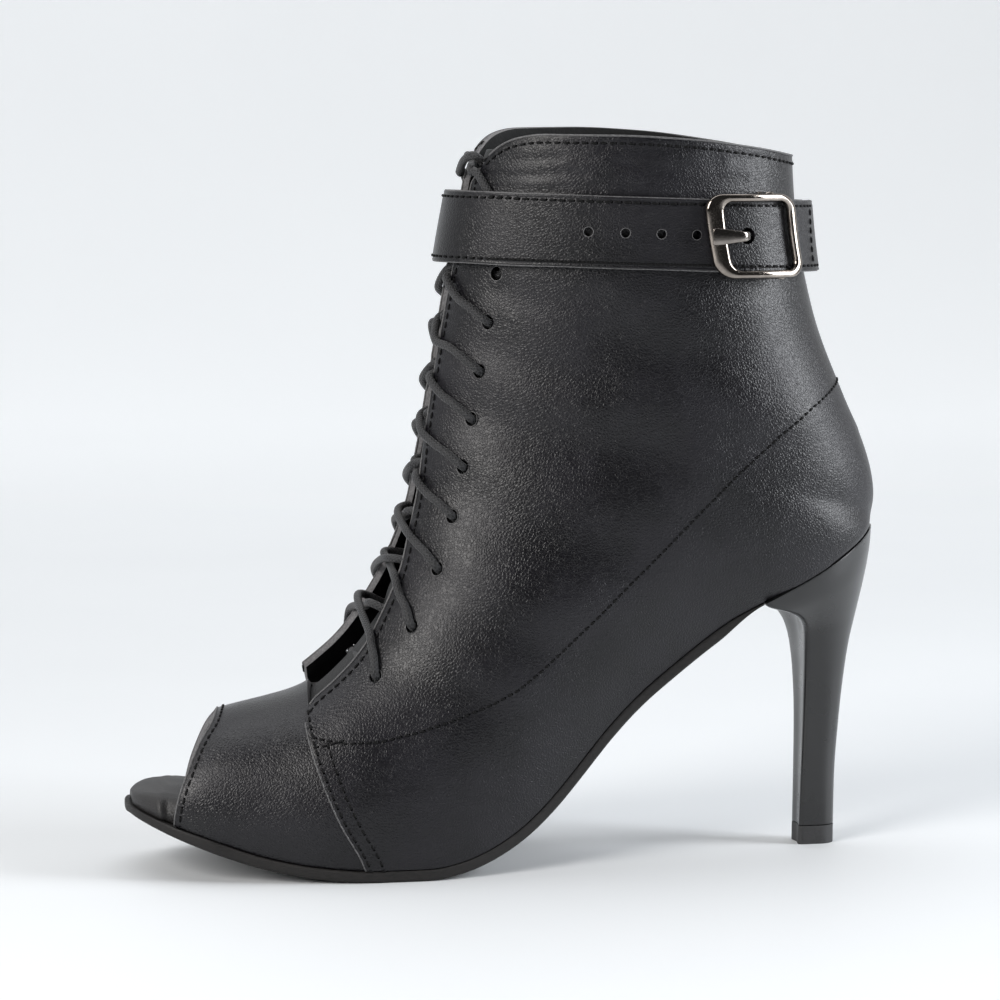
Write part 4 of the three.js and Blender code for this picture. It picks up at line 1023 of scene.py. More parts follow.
def strand(row, side, path=LACE_PATH):
    """From inside one lace hole, out and over the facing's edge, across and under the other facing."""
    v, next_v = float(eyelet_section(row)), float(eyelet_section(row + 1))

    def at(share):
        return v + (next_v - v) * share

    def over(share, turn, rest=LACE_REST):
        u = side * turn
        return quarter_point(at(share), u, rest)

    def between(share, near):
        return gap_turn(at(share)) + (eyelet_turn(at(share)) - gap_turn(at(share))) * near

    hole = side * eyelet_turn(v)
    outside = last_normal(v, hole)
    up = unit(base_and_front(v + 0.1)[1] - base_and_front(v - 0.1)[1])
    lean = np.array([up[0], 0, up[1]]) * 0.35
    hole_at = quarter_point(v, hole)
    places = [hole_at - outside * (WALL + 1.5) - lean * 2, hole_at - outside * WALL * 0.5]
    places.append(hole_at + outside * 0.9 + lean)
    if path["near"] < 0.5:
        places.append(over(0.35, between(0.35, 0.75), LACE_REST - 0.4))
    places.append(over(path["start"] + 0.1, between(path["start"] + 0.1, path["near"] * 0.85)))
    places.append(over(path["rise"], between(path["rise"], path["near"] / 2)))
    edge = path["edge"] + LACE_SWAY[row % len(LACE_SWAY)] * side
    places.append(over(edge, gap_turn(at(edge), 0.8)))
    level = (quarter_offset(at(1), -gap_turn(at(1))) + quarter_offset(at(1), gap_turn(at(1)))) / 2
    lap = 0.52 * LACE_DIAMETER * side * (1 if row % 2 else -1)
    places.append(shell_point(at(path["across"]), 0.0, level - LACE_SINK + lap))
    end = shell_point(at(path["beyond"]), 0.0, level - LACE_SINK * 1.6)
    end[1] = -side * (float(section["gap"](at(path["beyond"]))) * BALL_WIDTH - LACE_DIAMETER / 2 - 0.6)
    places.append(end)
    return places


print("a strand passes", len(strand(0, -1)), "places")

# %% [markdown]
# Each half of the lace is a chain of strands. Its last strand crosses at the collar, and its end hangs
# a little way down inside the boot.

# %% Both halves of the lace
def under(row, side):
    """Under a facing, on the way to the inside of its lace hole."""
    v = float(eyelet_section(row))
    u = side * float(gap_turn(v - 0.06, 3.6))
    return shell_point(v - 0.06, u, np.array(UNDER_FACING) + 0.2 * quarter_offset(v, u))


def lace_half(side):
    places = []
    for row in range(8):
        places += strand(row, side)
        side = -side
        places.append(under(row + 1, side))
    v = float(eyelet_section(8))
    places.append(shell_point(v, side * eyelet_turn(v), np.array(UNDER_FACING)))
    return places + strand(9, side, TOP_LACE_PATH)


def make_lace():
    v = float(eyelet_section(0)) - 0.25
    bar = [shell_point(v, u, np.array(-WALL - 1.6)) for u in (-0.1, 0.1)]
    ends = []
    for half in (lace_half(-1), lace_half(1)):
        tail = half[-1] + np.array([3.5, 0, -3.5])
        ends.append(half + [tail, tail + np.array([3.0, np.sign(tail[1]) * 1.5, -7])])
    line = smooth_path(ends[0][::-1] + bar + ends[1], 0.75)
    print("lace length in mm:", round(line_length(line)))
    lace = new_piece("lace", tube_mesh(line, LACE_DIAMETER, around=14), lace_cord)
    crossings = ["lace_cross_%d" % (row + 1) for row in range(8)] + ["lace_cross_top"]
    return seat(lace, "lace_cord", *crossings)


print("strands over the facings:", 2 * len(LACE_SWAY) + 2)

# %% [markdown]
# The ankle strap starts at the buckle's hidden pivot, passes round the back, the inner side and the
# front, and comes back over its own start. Its path is found at each height from the last, so it keeps
# an even distance to the leather.

# %% Ankle strap
STRAP_WIDTH = 20
STRAP_THICKNESS = 2
STRAP_HEIGHT = COLLAR_HEIGHT - 29.5
STRAP_RISE = 3
STRAP_FRONT_GAP = 2.3
STRAP_REST = 0.45
STRAP_END_TURN = 2.93
STRAP_SLANT = 0.014
BUCKLE_X = LAST_LENGTH - TOE_REACH - 42.2
PIVOT_X = BUCKLE_X + 6.4
PRONG_HOLE_X = BUCKLE_X - 1.4
FIRST_FREE_HOLE = 14.8
STRAP_HOLE_PITCH = 10
STRAP_RING = [(0, 0, 1.0), (0.6, 0, 1.0), (0.84, 0, 0.99), (0.9, 0, 0.9), (0.95, 0, 0.97),
              (0.99, 0, 0.8), (1, 0, 0.5), (0.985, 0, 0.15), (0.93, 0, 0), (0, 0, 0)]


def strap_height(u):
    return STRAP_HEIGHT + STRAP_RISE * np.cos(u * np.pi / 2) ** 2


def strap_point(turn, up, offset):
    turn, up, offset = np.broadcast_arrays(*np.atleast_1d(turn, up, offset))
    u = np.where(turn <= 1, -turn, 2 - turn).astype(float)
    z = strap_height(u) + up
    v = crossing(lambda at: last_point(at, u)[..., 2] - z, np.full(len(u), 12.0), np.full(len(u), 21.0))
    outward = last_normal(v, u)
    outward[:, 2] = 0
    points = last_point(v, u)
    points[:, 2] = z
    return points + unit(outward) * (OVERLAP_STEP + offset)[:, None]


def strap_standoff(turn):
    front = STRAP_FRONT_GAP * (1 - ease(0.02, 0.34, np.abs(turn - 2)))
    over_itself = (STRAP_THICKNESS + 2 * FIT) * ease(2.56, 2.74, turn)
    return STRAP_REST + np.maximum(front, over_itself)


side_turns = np.linspace(2.1, 2.99, 500)
side_xs = strap_point(side_turns, 0.0, strap_standoff(side_turns) + STRAP_THICKNESS)[:, 0]


def strap_turn_at(x):
    """Where the strap's outer face lies at a given x on the outer side."""
    return np.interp(x, side_xs, side_turns)


print("pivot at", round(float(strap_turn_at(PIVOT_X)), 2), "turns of the strap")

# %% [markdown]
# The strap's own section is a short table too, a flat band with pressed edges. Its prong hole and four
# free holes are cut as the lace holes were.

# %% Strap with its holes
strap_start = strap_turn_at(PIVOT_X + 1.5) - 2


def strap_place(a, b):
    side, share, _, deep = ring_values(STRAP_RING, a, 0.006)
    up = side * share
    turn = strap_start + (STRAP_END_TURN + STRAP_SLANT * up - strap_start) * b
    sag = 0.12 * np.sin(turn * 23) * np.sin(turn * 7.3 + 1)
    return strap_point(turn, up * STRAP_WIDTH / 2 + sag, strap_standoff(turn) + STRAP_THICKNESS * deep)


def outward_at(turn):
    return unit(strap_point(turn, 0.0, 1.0) - strap_point(turn, 0.0, 0.0))[0]


def strap_hole(index):
    ahead = FIRST_FREE_HOLE + (index - 1) * STRAP_HOLE_PITCH if index else 0
    turn = strap_turn_at(PRONG_HOLE_X - ahead)
    return strap_point(turn, 0.0, strap_standoff(turn) + STRAP_THICKNESS)[0], outward_at(turn)


def make_strap():
    turns = np.linspace(strap_start, STRAP_END_TURN, 800)
    middle = strap_point(turns, 0.0, strap_standoff(turns) + STRAP_THICKNESS / 2)
    print("strap length in mm:", round(line_length(middle)))
    bm = grid_mesh(84, 420, strap_place, size=(44, 420), closed=True, filled=True)
    strap = new_piece("strap_band", bm, strap_leather)
    pins = bmesh.new()
    for index in range(5):
        place, outward = strap_hole(index)
        pin_at(pins, place, outward, 2.6 if index else 4.6, STRAP_THICKNESS * 3)
    cut_holes(strap, pins)
    add_bevel(strap, 0.25, 60)
    return seat(finish_modifiers(strap), "black_leather", "ankle_strap")


print("strap is", STRAP_WIDTH, "mm wide, at", STRAP_HEIGHT, "mm")

# %% [markdown]
# The buckle's frame is a ring of bar: a rounded rectangle for its outer edge and a smaller one for its
# opening, with the bar's own section between them. Two short legs lead down to a pivot that lies under
# the strap.

# %% Buckle
BUCKLE_LENGTH, BUCKLE_HEIGHT = 27, 23.4
BUCKLE_BAR, BUCKLE_FRONT_BAR = 2.2, 5
BUCKLE_CORNER = 5
BUCKLE_DEPTH = BUCKLE_BAR * 0.9
PRONG_WIDTH = 1.8
BAR_RING = [(0.5, 0, 0), (0.9, 0, 0.03), (1, 0, 0.35), (0.97, 0, 0.72), (0.8, 0, 0.97), (0.5, 0, 1.04),
            (0.2, 0, 0.97), (0.03, 0, 0.72), (0, 0, 0.35), (0.1, 0, 0.03), (0.5, 0, 0)]
buckle_middle = float(strap_height(2 - strap_turn_at(BUCKLE_X)))


def frame_point(x, z, offset):
    """Over the strap's outer face, by x and z in the side view."""
    turn = strap_turn_at(x)
    rise = z - strap_height(2 - turn)
    return strap_point(turn, rise, strap_standoff(turn) + STRAP_THICKNESS + 2 * FIT + offset)


CORNER_STEPS, SIDE_STEPS = 12, 10


def frame_outline(length, height, radius):
    """A rounded rectangle, with the same number of points whatever its size."""
    outline = []
    corners = [(1, 1, 0), (-1, 1, 90), (-1, -1, 180), (1, -1, 270)]
    for sx, sz, start in corners:
        middle = np.array([sx * (length / 2 - radius), sz * (height / 2 - radius)])
        turns = np.radians(start + np.linspace(0, 90, CORNER_STEPS + 1))
        arc = middle + radius * np.stack([np.cos(turns), np.sin(turns)], -1)
        if outline:
            run = np.linspace(outline[-1][-1], arc[0], SIDE_STEPS + 1)[1:-1]
            outline.append(run)
        outline.append(arc)
    outline.append(np.linspace(outline[-1][-1], outline[0][0], SIDE_STEPS + 1)[1:])
    return np.vstack(outline)


def bar_place(a, b):
    outer = frame_outline(BUCKLE_LENGTH, BUCKLE_HEIGHT, BUCKLE_CORNER)
    shift = (BUCKLE_FRONT_BAR - BUCKLE_BAR) / 2
    inner = frame_outline(BUCKLE_LENGTH - BUCKLE_BAR - BUCKLE_FRONT_BAR, BUCKLE_HEIGHT - 2 * BUCKLE_BAR,
                          BUCKLE_CORNER - BUCKLE_BAR) + (shift, 0)
    row = np.rint(b * (len(outer) - 1)).astype(int)
    steps = np.linspace(0, 1, len(BAR_RING))
    share = smooth_curve(steps, [r[0] for r in BAR_RING], 0.02)(a)[:, None]
    up = smooth_curve(steps, [r[2] for r in BAR_RING], 0.02)(a)
    place = outer[row] + (inner[row] - outer[row]) * share
    return frame_point(BUCKLE_X + place[:, 0], buckle_middle + place[:, 1], up * BUCKLE_DEPTH)


def pivot_mesh(bm):
    turn = strap_turn_at(PIVOT_X)
    outward = outward_at(turn)
    depth = STRAP_REST + 0.9
    up = STRAP_WIDTH / 2 + FIT + 0.9
    reach = float(strap_standoff(turn)) + STRAP_THICKNESS + 2 * FIT + BUCKLE_BAR / 2 - depth
    middle = buckle_middle - float(strap_height(2 - turn))
    low, high = [strap_point(turn, side * up + middle, depth)[0] for side in (-1, 1)]
    for end in (low, high):
        pin_at(bm, end + outward * reach / 2, outward, 1.8, reach)
    pin_at(bm, (low + high) / 2, high - low, 1.8, np.linalg.norm(high - low) + 1.8)


def make_buckle():
    rows = len(frame_outline(1, 1, 0.1)) - 1
    bm = grid_mesh(40, rows, bar_place, size=(14, 90), closed=True)
    pivot_mesh(bm)
    frame_piece = new_piece("buckle_ring", bm, buckle_metal)
    return seat(frame_piece, "buckle_metal", "buckle_frame")


print("buckle frame in mm:", BUCKLE_LENGTH, "by", BUCKLE_HEIGHT)

# %% [markdown]
# The prong comes from the pivot under the strap, rises through the strap's hole and lies on the frame's
# front bar. A table gives its width and thickness along the way.

# %% Prong
def make_prong():
    under_strap = -STRAP_THICKNESS - 2 * FIT
    over = BUCKLE_DEPTH + PRONG_WIDTH / 2 + FIT * 0.4
    tip = BUCKLE_X - BUCKLE_LENGTH / 2
    # x, offset from the frame's underside, width, thickness
    rows = [
        (PIVOT_X - 2.6, under_strap - 1.1, 2.0, 1.6), (PRONG_HOLE_X + 2, under_strap - 1.0, 2.0, 1.6),
        (PRONG_HOLE_X + 0.2, under_strap + 0.6, 2.1, 1.6), (PRONG_HOLE_X - 0.6, 0.6, 2.3, 1.6),
        (PRONG_HOLE_X - 2.6, over - 0.3, 2.8, 1.6), (PRONG_HOLE_X - 6, over, 3.6, 1.5),
        (tip + BUCKLE_FRONT_BAR * 0.7, over, 4.4, 1.5), (tip + 1.2, over, 4.8, 1.4),
        (tip + 0.5, over - 0.1, 4.6, 1.1),
    ]
    places = frame_point(np.array([r[0] for r in rows]), np.full(len(rows), buckle_middle),
                         np.array([r[1] for r in rows]))
    line = smooth_path(places, 0.35)
    spots = np.linspace(0, 1, len(line))
    knots = np.concatenate([[0], np.cumsum(np.linalg.norm(np.diff(places, axis=0), axis=1))])
    knots /= knots[-1]
    tall = np.interp(spots, knots, [r[2] for r in rows])
    deep = np.interp(spots, knots, [r[3] for r in rows])

    def place(a, b):
        row = np.rint(b * (len(line) - 1)).astype(int)
        angle = a * 2 * np.pi
        along = unit(np.gradient(line, axis=0))
        up = np.array([0, 0, 1.0]) - along * along[:, 2:3]
        out = np.cross(unit(up), along)
        square = 0.62
        c, s = np.cos(angle), np.sin(angle)
        round_c = np.sign(c) * np.abs(c) ** square * tall[row] / 2
        round_s = np.sign(s) * np.abs(s) ** square * deep[row] / 2
        return line[row] + unit(up)[row] * round_c[:, None] + out[row] * round_s[:, None]

    bm = grid_mesh(28, len(line) - 1, place, closed=True, filled=True)
    prong = new_piece("prong", bm, prong_metal)
    add_bevel(prong, 0.25, 50)
    return seat(finish_modifiers(prong), "buckle_metal", "buckle_prong")


print("prong's hole at x =", round(PRONG_HOLE_X, 1))

# %% [markdown]
# Stitches are laid on the finished leather. Each row follows a line that is given by the panel's own
# edge, or by points read off in the side view. The line is dropped on the nearest leather, so that the
# stitches follow its creases.

# %% Lines on the leather
def surface_of(*pieces):
    """One search tree over the faces of the pieces."""
    bm = bmesh.new()
    for piece in pieces:
        bm.from_mesh(piece.data)
    tree = BVHTree.FromBMesh(bm)
    bm.free()
    return tree


def even_points(line, pitch):
    line = np.array(line, float)
    walk = np.concatenate([[0], np.cumsum(np.linalg.norm(np.diff(line, axis=0), axis=1))])
    even = np.linspace(0, walk[-1], max(2, int(round(walk[-1] / pitch)) + 1))
    return np.stack([np.interp(even, walk, line[:, i]) for i in range(line.shape[1])], -1)


def drop_on(tree, points):
    """The nearest places on the leather, in metres, and its directions there."""
    return [tree.find_nearest(Vector(point) * MM)[:2] for point in points]


def side_line(tree, points, side):
    """Drops a line drawn in the side view, as x and z, onto one side of the boot."""
    line = []
    for x, z in even_points(points, 1.0):
        start = Vector((x, side * 80, z)) * MM
        place = tree.ray_cast(start, Vector((0, -side, 0)))[0]
        if place is not None:
            line.append(np.array(place) / MM)
    return line


print("lines can be dropped on the leather")

# %% [markdown]
# A stitch is a small flattened ball of thread, sunk a little into the leather, with a near-black ball at
# its end as painted shade for the needle's hole. Rings and pale edges are thin tubes, painted pale as
# highlights.

# %% Stitch rows, rings and edges
STITCH_WIDTH = 0.8
STITCH_SINK = 0.1
# Size of the near-black ball painted as the shade inside a needle's hole.
PINHOLE_SHADE_SIZE = Matrix.Diagonal((0.34 * MM, 0.4 * MM, 0.16 * MM, 1))


def stitch_row(everything, tree, line, pitch=2.6, length=1.7):
    """Adds capsules along the line, and a small near-black ball at the end of each, painted shade for
    the needle's hole.
    """
    bm = bmesh.new()
    points = even_points(line, pitch)
    ways = unit(np.gradient(points, axis=0))
    for (place, normal), way in zip(drop_on(tree, points), ways):
        along = Vector(way)
        along = (along - normal * along.dot(normal)).normalized()
        across = normal.cross(along)
        turn = Matrix((along, across, normal)).transposed().to_4x4()
        lift = Matrix.Translation(place + normal * (STITCH_WIDTH * 0.25 - STITCH_SINK) * MM)
        size = Matrix.Diagonal((length / 2 * MM, STITCH_WIDTH / 2 * MM, STITCH_WIDTH * 0.42 * MM, 1))
        bmesh.ops.create_uvsphere(bm, u_segments=8, v_segments=6, radius=1, matrix=lift @ turn @ size)
        # A near-black ball at the stitch's end is painted shade for the needle's hole.
        hole = Matrix.Translation(place + (along * length / 2 - normal * 0.05) * MM)
        made = bmesh.ops.create_uvsphere(bm, u_segments=6, v_segments=4, radius=1,
                                         matrix=hole @ turn @ PINHOLE_SHADE_SIZE)
        for face in {f for v in made["verts"] for f in v.link_faces}:
            face.material_index = 1
        if len(bm.faces) > 1500:
            append_mesh(everything, bm)
            bm = bmesh.new()
    append_mesh(everything, bm)


def highlight_ring(bm, place, outward, diameter, width, stretch=1.0):
    """A thin raised ring round a hole, which is given a pale colour as the painted highlight on the
    hole's rim.
    """
    turns = np.linspace(0, 2 * np.pi, 33)
    turn = Vector(outward).to_track_quat("Z", "Y").to_matrix()
    radius = diameter / 2
    line = [np.array(turn @ Vector((math.cos(t) * radius, math.sin(t) * radius * stretch, 0))) + place
            for t in turns]
    append_mesh(bm, tube_mesh(np.array(line), width, width * 0.7, around=8, closed=True))


def edge_line(bm, tree, line, width):
    """A thin pale line along a cut edge, a painted highlight where the rounded edge catches the light.
    """
    points = smooth_path(even_points(line, 3.0), 1.2)
    places = np.array([np.array(place) / MM for place, _ in drop_on(tree, points)])
    append_mesh(bm, tube_mesh(places, width, around=8))


print("a stitch is", STITCH_WIDTH, "mm wide")

# %% [markdown]
# A material is a small network of nodes. Patterns read each piece's own coordinates in metres, so a
# scale of 900 makes leather cells of about a millimetre. What several materials share, such as the
# leather's grain, is a group with named inputs and outputs, placed in each with its own values.

# %% Node helpers
def node(tree, kind, settings=None, **inputs):
    """Adds a shader node. An input is named, or numbered as i0, i1, and takes a value or a socket."""
    made = tree.nodes.new("ShaderNode" + kind)
    for key, value in (settings or {}).items():
        setattr(made, key, value)
    for key, value in inputs.items():
        numbered = key[0] == "i" and key[1:].isdigit()
        socket = made.inputs[int(key[1:])] if numbered else made.inputs[key.replace("_", " ")]
        if isinstance(value, bpy.types.NodeSocket):
            tree.links.new(value, socket)
        else:
            socket.default_value = value
    return made


def math_node(tree, operation, *values):
    inputs = {"i%d" % i: value for i, value in enumerate(values)}
    return node(tree, "Math", dict(operation=operation), **inputs).outputs[0]


def ranged(tree, value, low, high, to_low=0.0, to_high=1.0):
    """Rescales a value, clamped, with soft ends."""
    made = node(tree, "MapRange", dict(interpolation_type="SMOOTHSTEP"), i0=value, i1=low, i2=high,
                i3=to_low, i4=to_high)
    return made.outputs[0]


def mixed(tree, share, first, second):
    first, second = [(*c, 1) if isinstance(c, tuple) else c for c in (first, second)]
    return node(tree, "Mix", dict(data_type="RGBA"), i0=share, i6=first, i7=second).outputs[2]


def noise(tree, vector, scale, detail=3.0, roughness=0.55):
    return node(tree, "TexNoise", None, Vector=vector, Scale=scale, Detail=detail,
                Roughness=roughness).outputs[0]


def new_group(name, inputs, outputs):
    """An empty node group with float sockets. Inputs are given with their usual values."""
    tree = bpy.data.node_groups.new(name, "ShaderNodeTree")
    for label, value in inputs.items():
        socket = tree.interface.new_socket(label, in_out="INPUT", socket_type="NodeSocketFloat")
        socket.default_value = value
    for label in outputs:
        tree.interface.new_socket(label, in_out="OUTPUT", socket_type="NodeSocketFloat")
    return tree, tree.nodes.new("NodeGroupInput"), tree.nodes.new("NodeGroupOutput")


def use_group(tree, group, **inputs):
    made = tree.nodes.new("ShaderNodeGroup")
    made.node_tree = group
    for key, value in inputs.items():
        made.inputs[key.replace("_", " ")].default_value = value
    return made.outputs


print("node helpers are ready")

# %% [markdown]
# The grain group gives three patterns: a height of small pebbles with pores and a slow swell, a tone
# that drifts over the hide, and a few faint scuffs.

# %% Leather grain group
def make_grain_group():
    """Pebbled cells with fine pores, slow unevenness, and faint scuffs."""
    tree, start, end = new_group("leather_grain", {"Cells per metre": 900.0},
                                 ["Height", "Tone", "Scuffs"])
    place = node(tree, "TexCoord").outputs["Object"]
    wander = node(tree, "TexNoise", None, Vector=place, Scale=420.0, Detail=2.0).outputs["Color"]
    shift = node(tree, "VectorMath", dict(operation="SCALE"), i0=wander, Scale=0.0007).outputs[0]
    warped = node(tree, "VectorMath", dict(operation="ADD"), i0=place, i1=shift).outputs[0]
    cells = node(tree, "TexVoronoi", dict(feature="DISTANCE_TO_EDGE"), Vector=warped,
                 Scale=start.outputs["Cells per metre"]).outputs["Distance"]
    pebble = ranged(tree, cells, 0.0, 0.3)
    pore_scale = math_node(tree, "MULTIPLY", start.outputs["Cells per metre"], 2.6)
    pores = noise(tree, warped, pore_scale, 2.0)
    slow = noise(tree, place, 42.0, 4.0)
    swell = math_node(tree, "MULTIPLY", slow, 2.5)
    fine = math_node(tree, "MULTIPLY_ADD", pores, 0.5, swell)
    height = math_node(tree, "MULTIPLY_ADD", pebble, 0.7, fine)
    scratched = noise(tree, place, 620.0, 5.0, 0.7)
    patches = ranged(tree, noise(tree, place, 70.0, 2.0), 0.52, 0.72)
    scuffs = math_node(tree, "MULTIPLY", ranged(tree, scratched, 0.56, 0.7), patches)
    tree.links.new(height, end.inputs["Height"])
    tree.links.new(slow, end.inputs["Tone"])
    tree.links.new(scuffs, end.inputs["Scuffs"])
    return tree


def new_material(name):
    material = bpy.data.materials.new(name)
    material.use_nodes = True
    tree = material.node_tree
    tree.nodes.clear()
    output = tree.nodes.new("ShaderNodeOutputMaterial")
    skin = tree.nodes.new("ShaderNodeBsdfPrincipled")
    tree.links.new(skin.outputs[0], output.inputs["Surface"])
    return material, tree, skin


def dress(tree, skin, **inputs):
    """Sets the surface's inputs, each from a value, a colour or a socket."""
    for key, value in inputs.items():
        socket = skin.inputs[key.replace("_", " ")]
        if isinstance(value, bpy.types.NodeSocket):
            tree.links.new(value, socket)
        else:
            socket.default_value = (*value, 1) if isinstance(value, tuple) else value


def bumped(tree, height, strength, distance_mm):
    return node(tree, "Bump", None, Strength=strength, Distance=distance_mm * MM,
                Height=height).outputs["Normal"]


grain_group = make_grain_group()
print("nodes in the grain:", len(grain_group.nodes))

# %% [markdown]
# Five leathers use the grain with their own colour, gloss and depth: the upper, the strap, the duller
# tongue, the insole's cover and the matt lining.

# %% Leathers
def make_leather(name, dark, light, rough=(0.3, 0.39), cells=1150.0, depth=0.11, coat=0.08):
    material, tree, skin = new_material(name)
    grain = use_group(tree, grain_group, Cells_per_metre=cells)
    tone = ranged(tree, grain["Tone"], 0.35, 0.65)
    color = mixed(tree, tone, dark, light)
    worn = tuple(c * 2 + 0.004 for c in light)
    color = mixed(tree, math_node(tree, "MULTIPLY", grain["Scuffs"], 0.1), color, worn)
    gloss = math_node(tree, "MULTIPLY_ADD", tone, rough[1] - rough[0], rough[0])
    gloss = math_node(tree, "MULTIPLY_ADD", grain["Scuffs"], 0.08, gloss)
    dress(tree, skin, Base_Color=color, Roughness=gloss, Specular_IOR_Level=0.36, Coat_Weight=coat,
          Coat_Roughness=0.3, Normal=bumped(tree, grain["Height"], 0.8, depth))
    return material


leather = make_leather("black_leather", (0.0036, 0.0033, 0.0046), (0.0072, 0.0066, 0.0092))
strap_leather = make_leather("strap_leather", (0.0036, 0.0033, 0.0044), (0.0072, 0.0066, 0.0088),
                             (0.3, 0.38), 1200.0, 0.1)
tongue_leather = make_leather("tongue_leather", (0.003, 0.003, 0.0033), (0.006, 0.0058, 0.006),
                              (0.5, 0.62), 1000.0, 0.1, 0.0)
insole_leather = make_leather("insole_leather", (0.013, 0.0125, 0.013), (0.024, 0.023, 0.0235),
                              (0.42, 0.56), 1150.0, 0.1, 0.05)
lining = make_leather("lining", (0.003, 0.003, 0.0032), (0.006, 0.006, 0.0062),
                      (0.7, 0.85), 700.0, 0.08, 0.0)
print("leathers:", [m.name for m in bpy.data.materials if "leather" in m.name or "lining" in m.name])

# %% [markdown]
# Cut edges, rubber, the satin heel and the thread need no grain. One colour drifts a little to another,
# and the same noise moves their gloss.

# %% Raw edges, sole, heel and rubber
def make_plain(name, dark, light, scale, rough, depth=0.05, detail=4.0, stretch=(1, 1, 1), coat=0.0,
               specular=0.5):
    """One colour varied by noise, with the same noise in its gloss and bump."""
    material, tree, skin = new_material(name)
    place = node(tree, "TexCoord").outputs["Object"]
    pulled = node(tree, "VectorMath", dict(operation="MULTIPLY"), i0=place, i1=stretch).outputs[0]
    grain = noise(tree, pulled, scale, detail, 0.65)
    share = ranged(tree, grain, 0.3, 0.7)
    gloss = math_node(tree, "MULTIPLY_ADD", share, rough[1] - rough[0], rough[0])
    dress(tree, skin, Base_Color=mixed(tree, share, dark, light), Roughness=gloss, Coat_Weight=coat,
          Coat_Roughness=0.2, Specular_IOR_Level=specular, Normal=bumped(tree, grain, 0.5, depth))
    return material


raw_edge = make_plain("raw_edge", (0.09, 0.088, 0.09), (0.2, 0.195, 0.2), 1500.0, (0.6, 0.85), 0.08)
sole_rubber = make_plain("sole_edge", (0.005, 0.0047, 0.0045), (0.018, 0.016, 0.0155), 900.0,
                         (0.5, 0.75), 0.2, stretch=(1, 1, 3.5), specular=0.35)
heel_plastic = make_plain("heel_satin", (0.010, 0.010, 0.0105), (0.0135, 0.0135, 0.014), 60.0,
                          (0.26, 0.33), 0.05, 2.0, coat=0.2)
tip_rubber = make_plain("tip_rubber", (0.022, 0.022, 0.023), (0.036, 0.036, 0.037), 1400.0,
                        (0.55, 0.7), 0.08)
thread = make_plain("thread", (0.002, 0.002, 0.0021), (0.005, 0.005, 0.0053), 3000.0, (0.5, 0.7), 0.05,
                    stretch=(1, 1, 2), specular=0.15)
# Near-black balls with no reflection at each stitch's end: painted shade in place of the needle's hole.
pinhole_shade = make_plain("pinhole_shade", (0.001, 0.001, 0.001), (0.002, 0.002, 0.002), 2000.0,
                     (0.85, 0.95), specular=0.0)
# Pale lines along the cut edges and rings round the holes: a painted highlight where the rounded rims
# catch the light.
painted_rim_highlight = make_plain("painted_rim_highlight", (0.05, 0.049, 0.05), (0.13, 0.128, 0.13), 1800.0, (0.4, 0.6), 0.04)
print("plain materials:", [m.name for m in (raw_edge, sole_rubber, heel_plastic, tip_rubber, thread)])

# %% [markdown]
# The lace shows a braid, made of two sets of waves that cross in the tube's UV map. The buckle is dark
# plated metal with very fine hairs in its polish.

# %% Lace cord and metal
def make_cord():
    """A braid: two sets of strands that wind opposite ways round the cord, from its UV map in metres."""
    material, tree, skin = new_material("lace_cord")
    uv = node(tree, "UVMap", dict(uv_map="surface")).outputs[0]
    parts = node(tree, "SeparateXYZ", None, i0=uv).outputs
    waves = []
    for way in (1, -1):
        lean = math_node(tree, "MULTIPLY_ADD", parts[0], way * 1.0, parts[1])
        turn = math_node(tree, "MULTIPLY", lean, 2 * math.pi / (1.2 * MM))
        wave = math_node(tree, "SINE", turn)
        waves.append(math_node(tree, "MULTIPLY_ADD", wave, 0.5, 0.5))
    braid = math_node(tree, "MAXIMUM", *waves)
    fuzz = noise(tree, node(tree, "TexCoord").outputs["Object"], 2600.0, 3.0)
    height = math_node(tree, "MULTIPLY_ADD", fuzz, 0.4, braid)
    share = ranged(tree, height, 0.5, 1.3)
    dress(tree, skin, Base_Color=mixed(tree, share, (0.004, 0.004, 0.0046), (0.02, 0.02, 0.022)),
          Roughness=0.58, Sheen_Weight=0.15, Sheen_Roughness=0.4, Normal=bumped(tree, height, 0.8, 0.2))
    return material


def make_metal(name, color, rough):
    """Polished plated metal with hair-fine scratches and faint clouds."""
    material, tree, skin = new_material(name)
    place = node(tree, "TexCoord").outputs["Object"]
    long = node(tree, "VectorMath", dict(operation="MULTIPLY"), i0=place, i1=(1, 1, 14)).outputs[0]
    hairs = ranged(tree, noise(tree, long, 900.0, 4.0, 0.7), 0.5, 0.75)
    clouds = noise(tree, place, 240.0, 3.0)
    gloss = math_node(tree, "MULTIPLY_ADD", hairs, 0.12, rough)
    gloss = math_node(tree, "MULTIPLY_ADD", clouds, 0.08, gloss)
    shade = mixed(tree, ranged(tree, clouds, 0.35, 0.65), color, tuple(c * 0.8 for c in color))
    dress(tree, skin, Base_Color=shade, Metallic=1.0, Roughness=gloss,
          Normal=bumped(tree, hairs, 0.15, 0.02))
    return material


lace_cord = make_cord()
buckle_metal = make_metal("buckle_metal", (0.3, 0.265, 0.235), 0.05)
prong_metal = make_metal("prong_metal", (0.26, 0.235, 0.215), 0.08)
print("materials:", len(bpy.data.materials))

# %% [markdown]
# Everything is now made in order: the leather panels first, then what lies on them.

# %% Upper
vamp = make_vamp()
quarters = make_quarters()
cut_eyelets(quarters)
for panel in (vamp, quarters):
    seat(panel, "black_leather", "upper")
print("panels:", vamp.name, quarters.name)

# %% [markdown]
# Next come the closed pieces under and inside the upper.

# %% Tongue, insole, sole and heel
closed_pieces = [make_tongue(), make_insole(), make_outsole(), make_heel(), make_tip()]
print("closed pieces:", [piece.name for piece in closed_pieces])

# %% [markdown]
# The lace, the strap and its buckle lie on the leather.

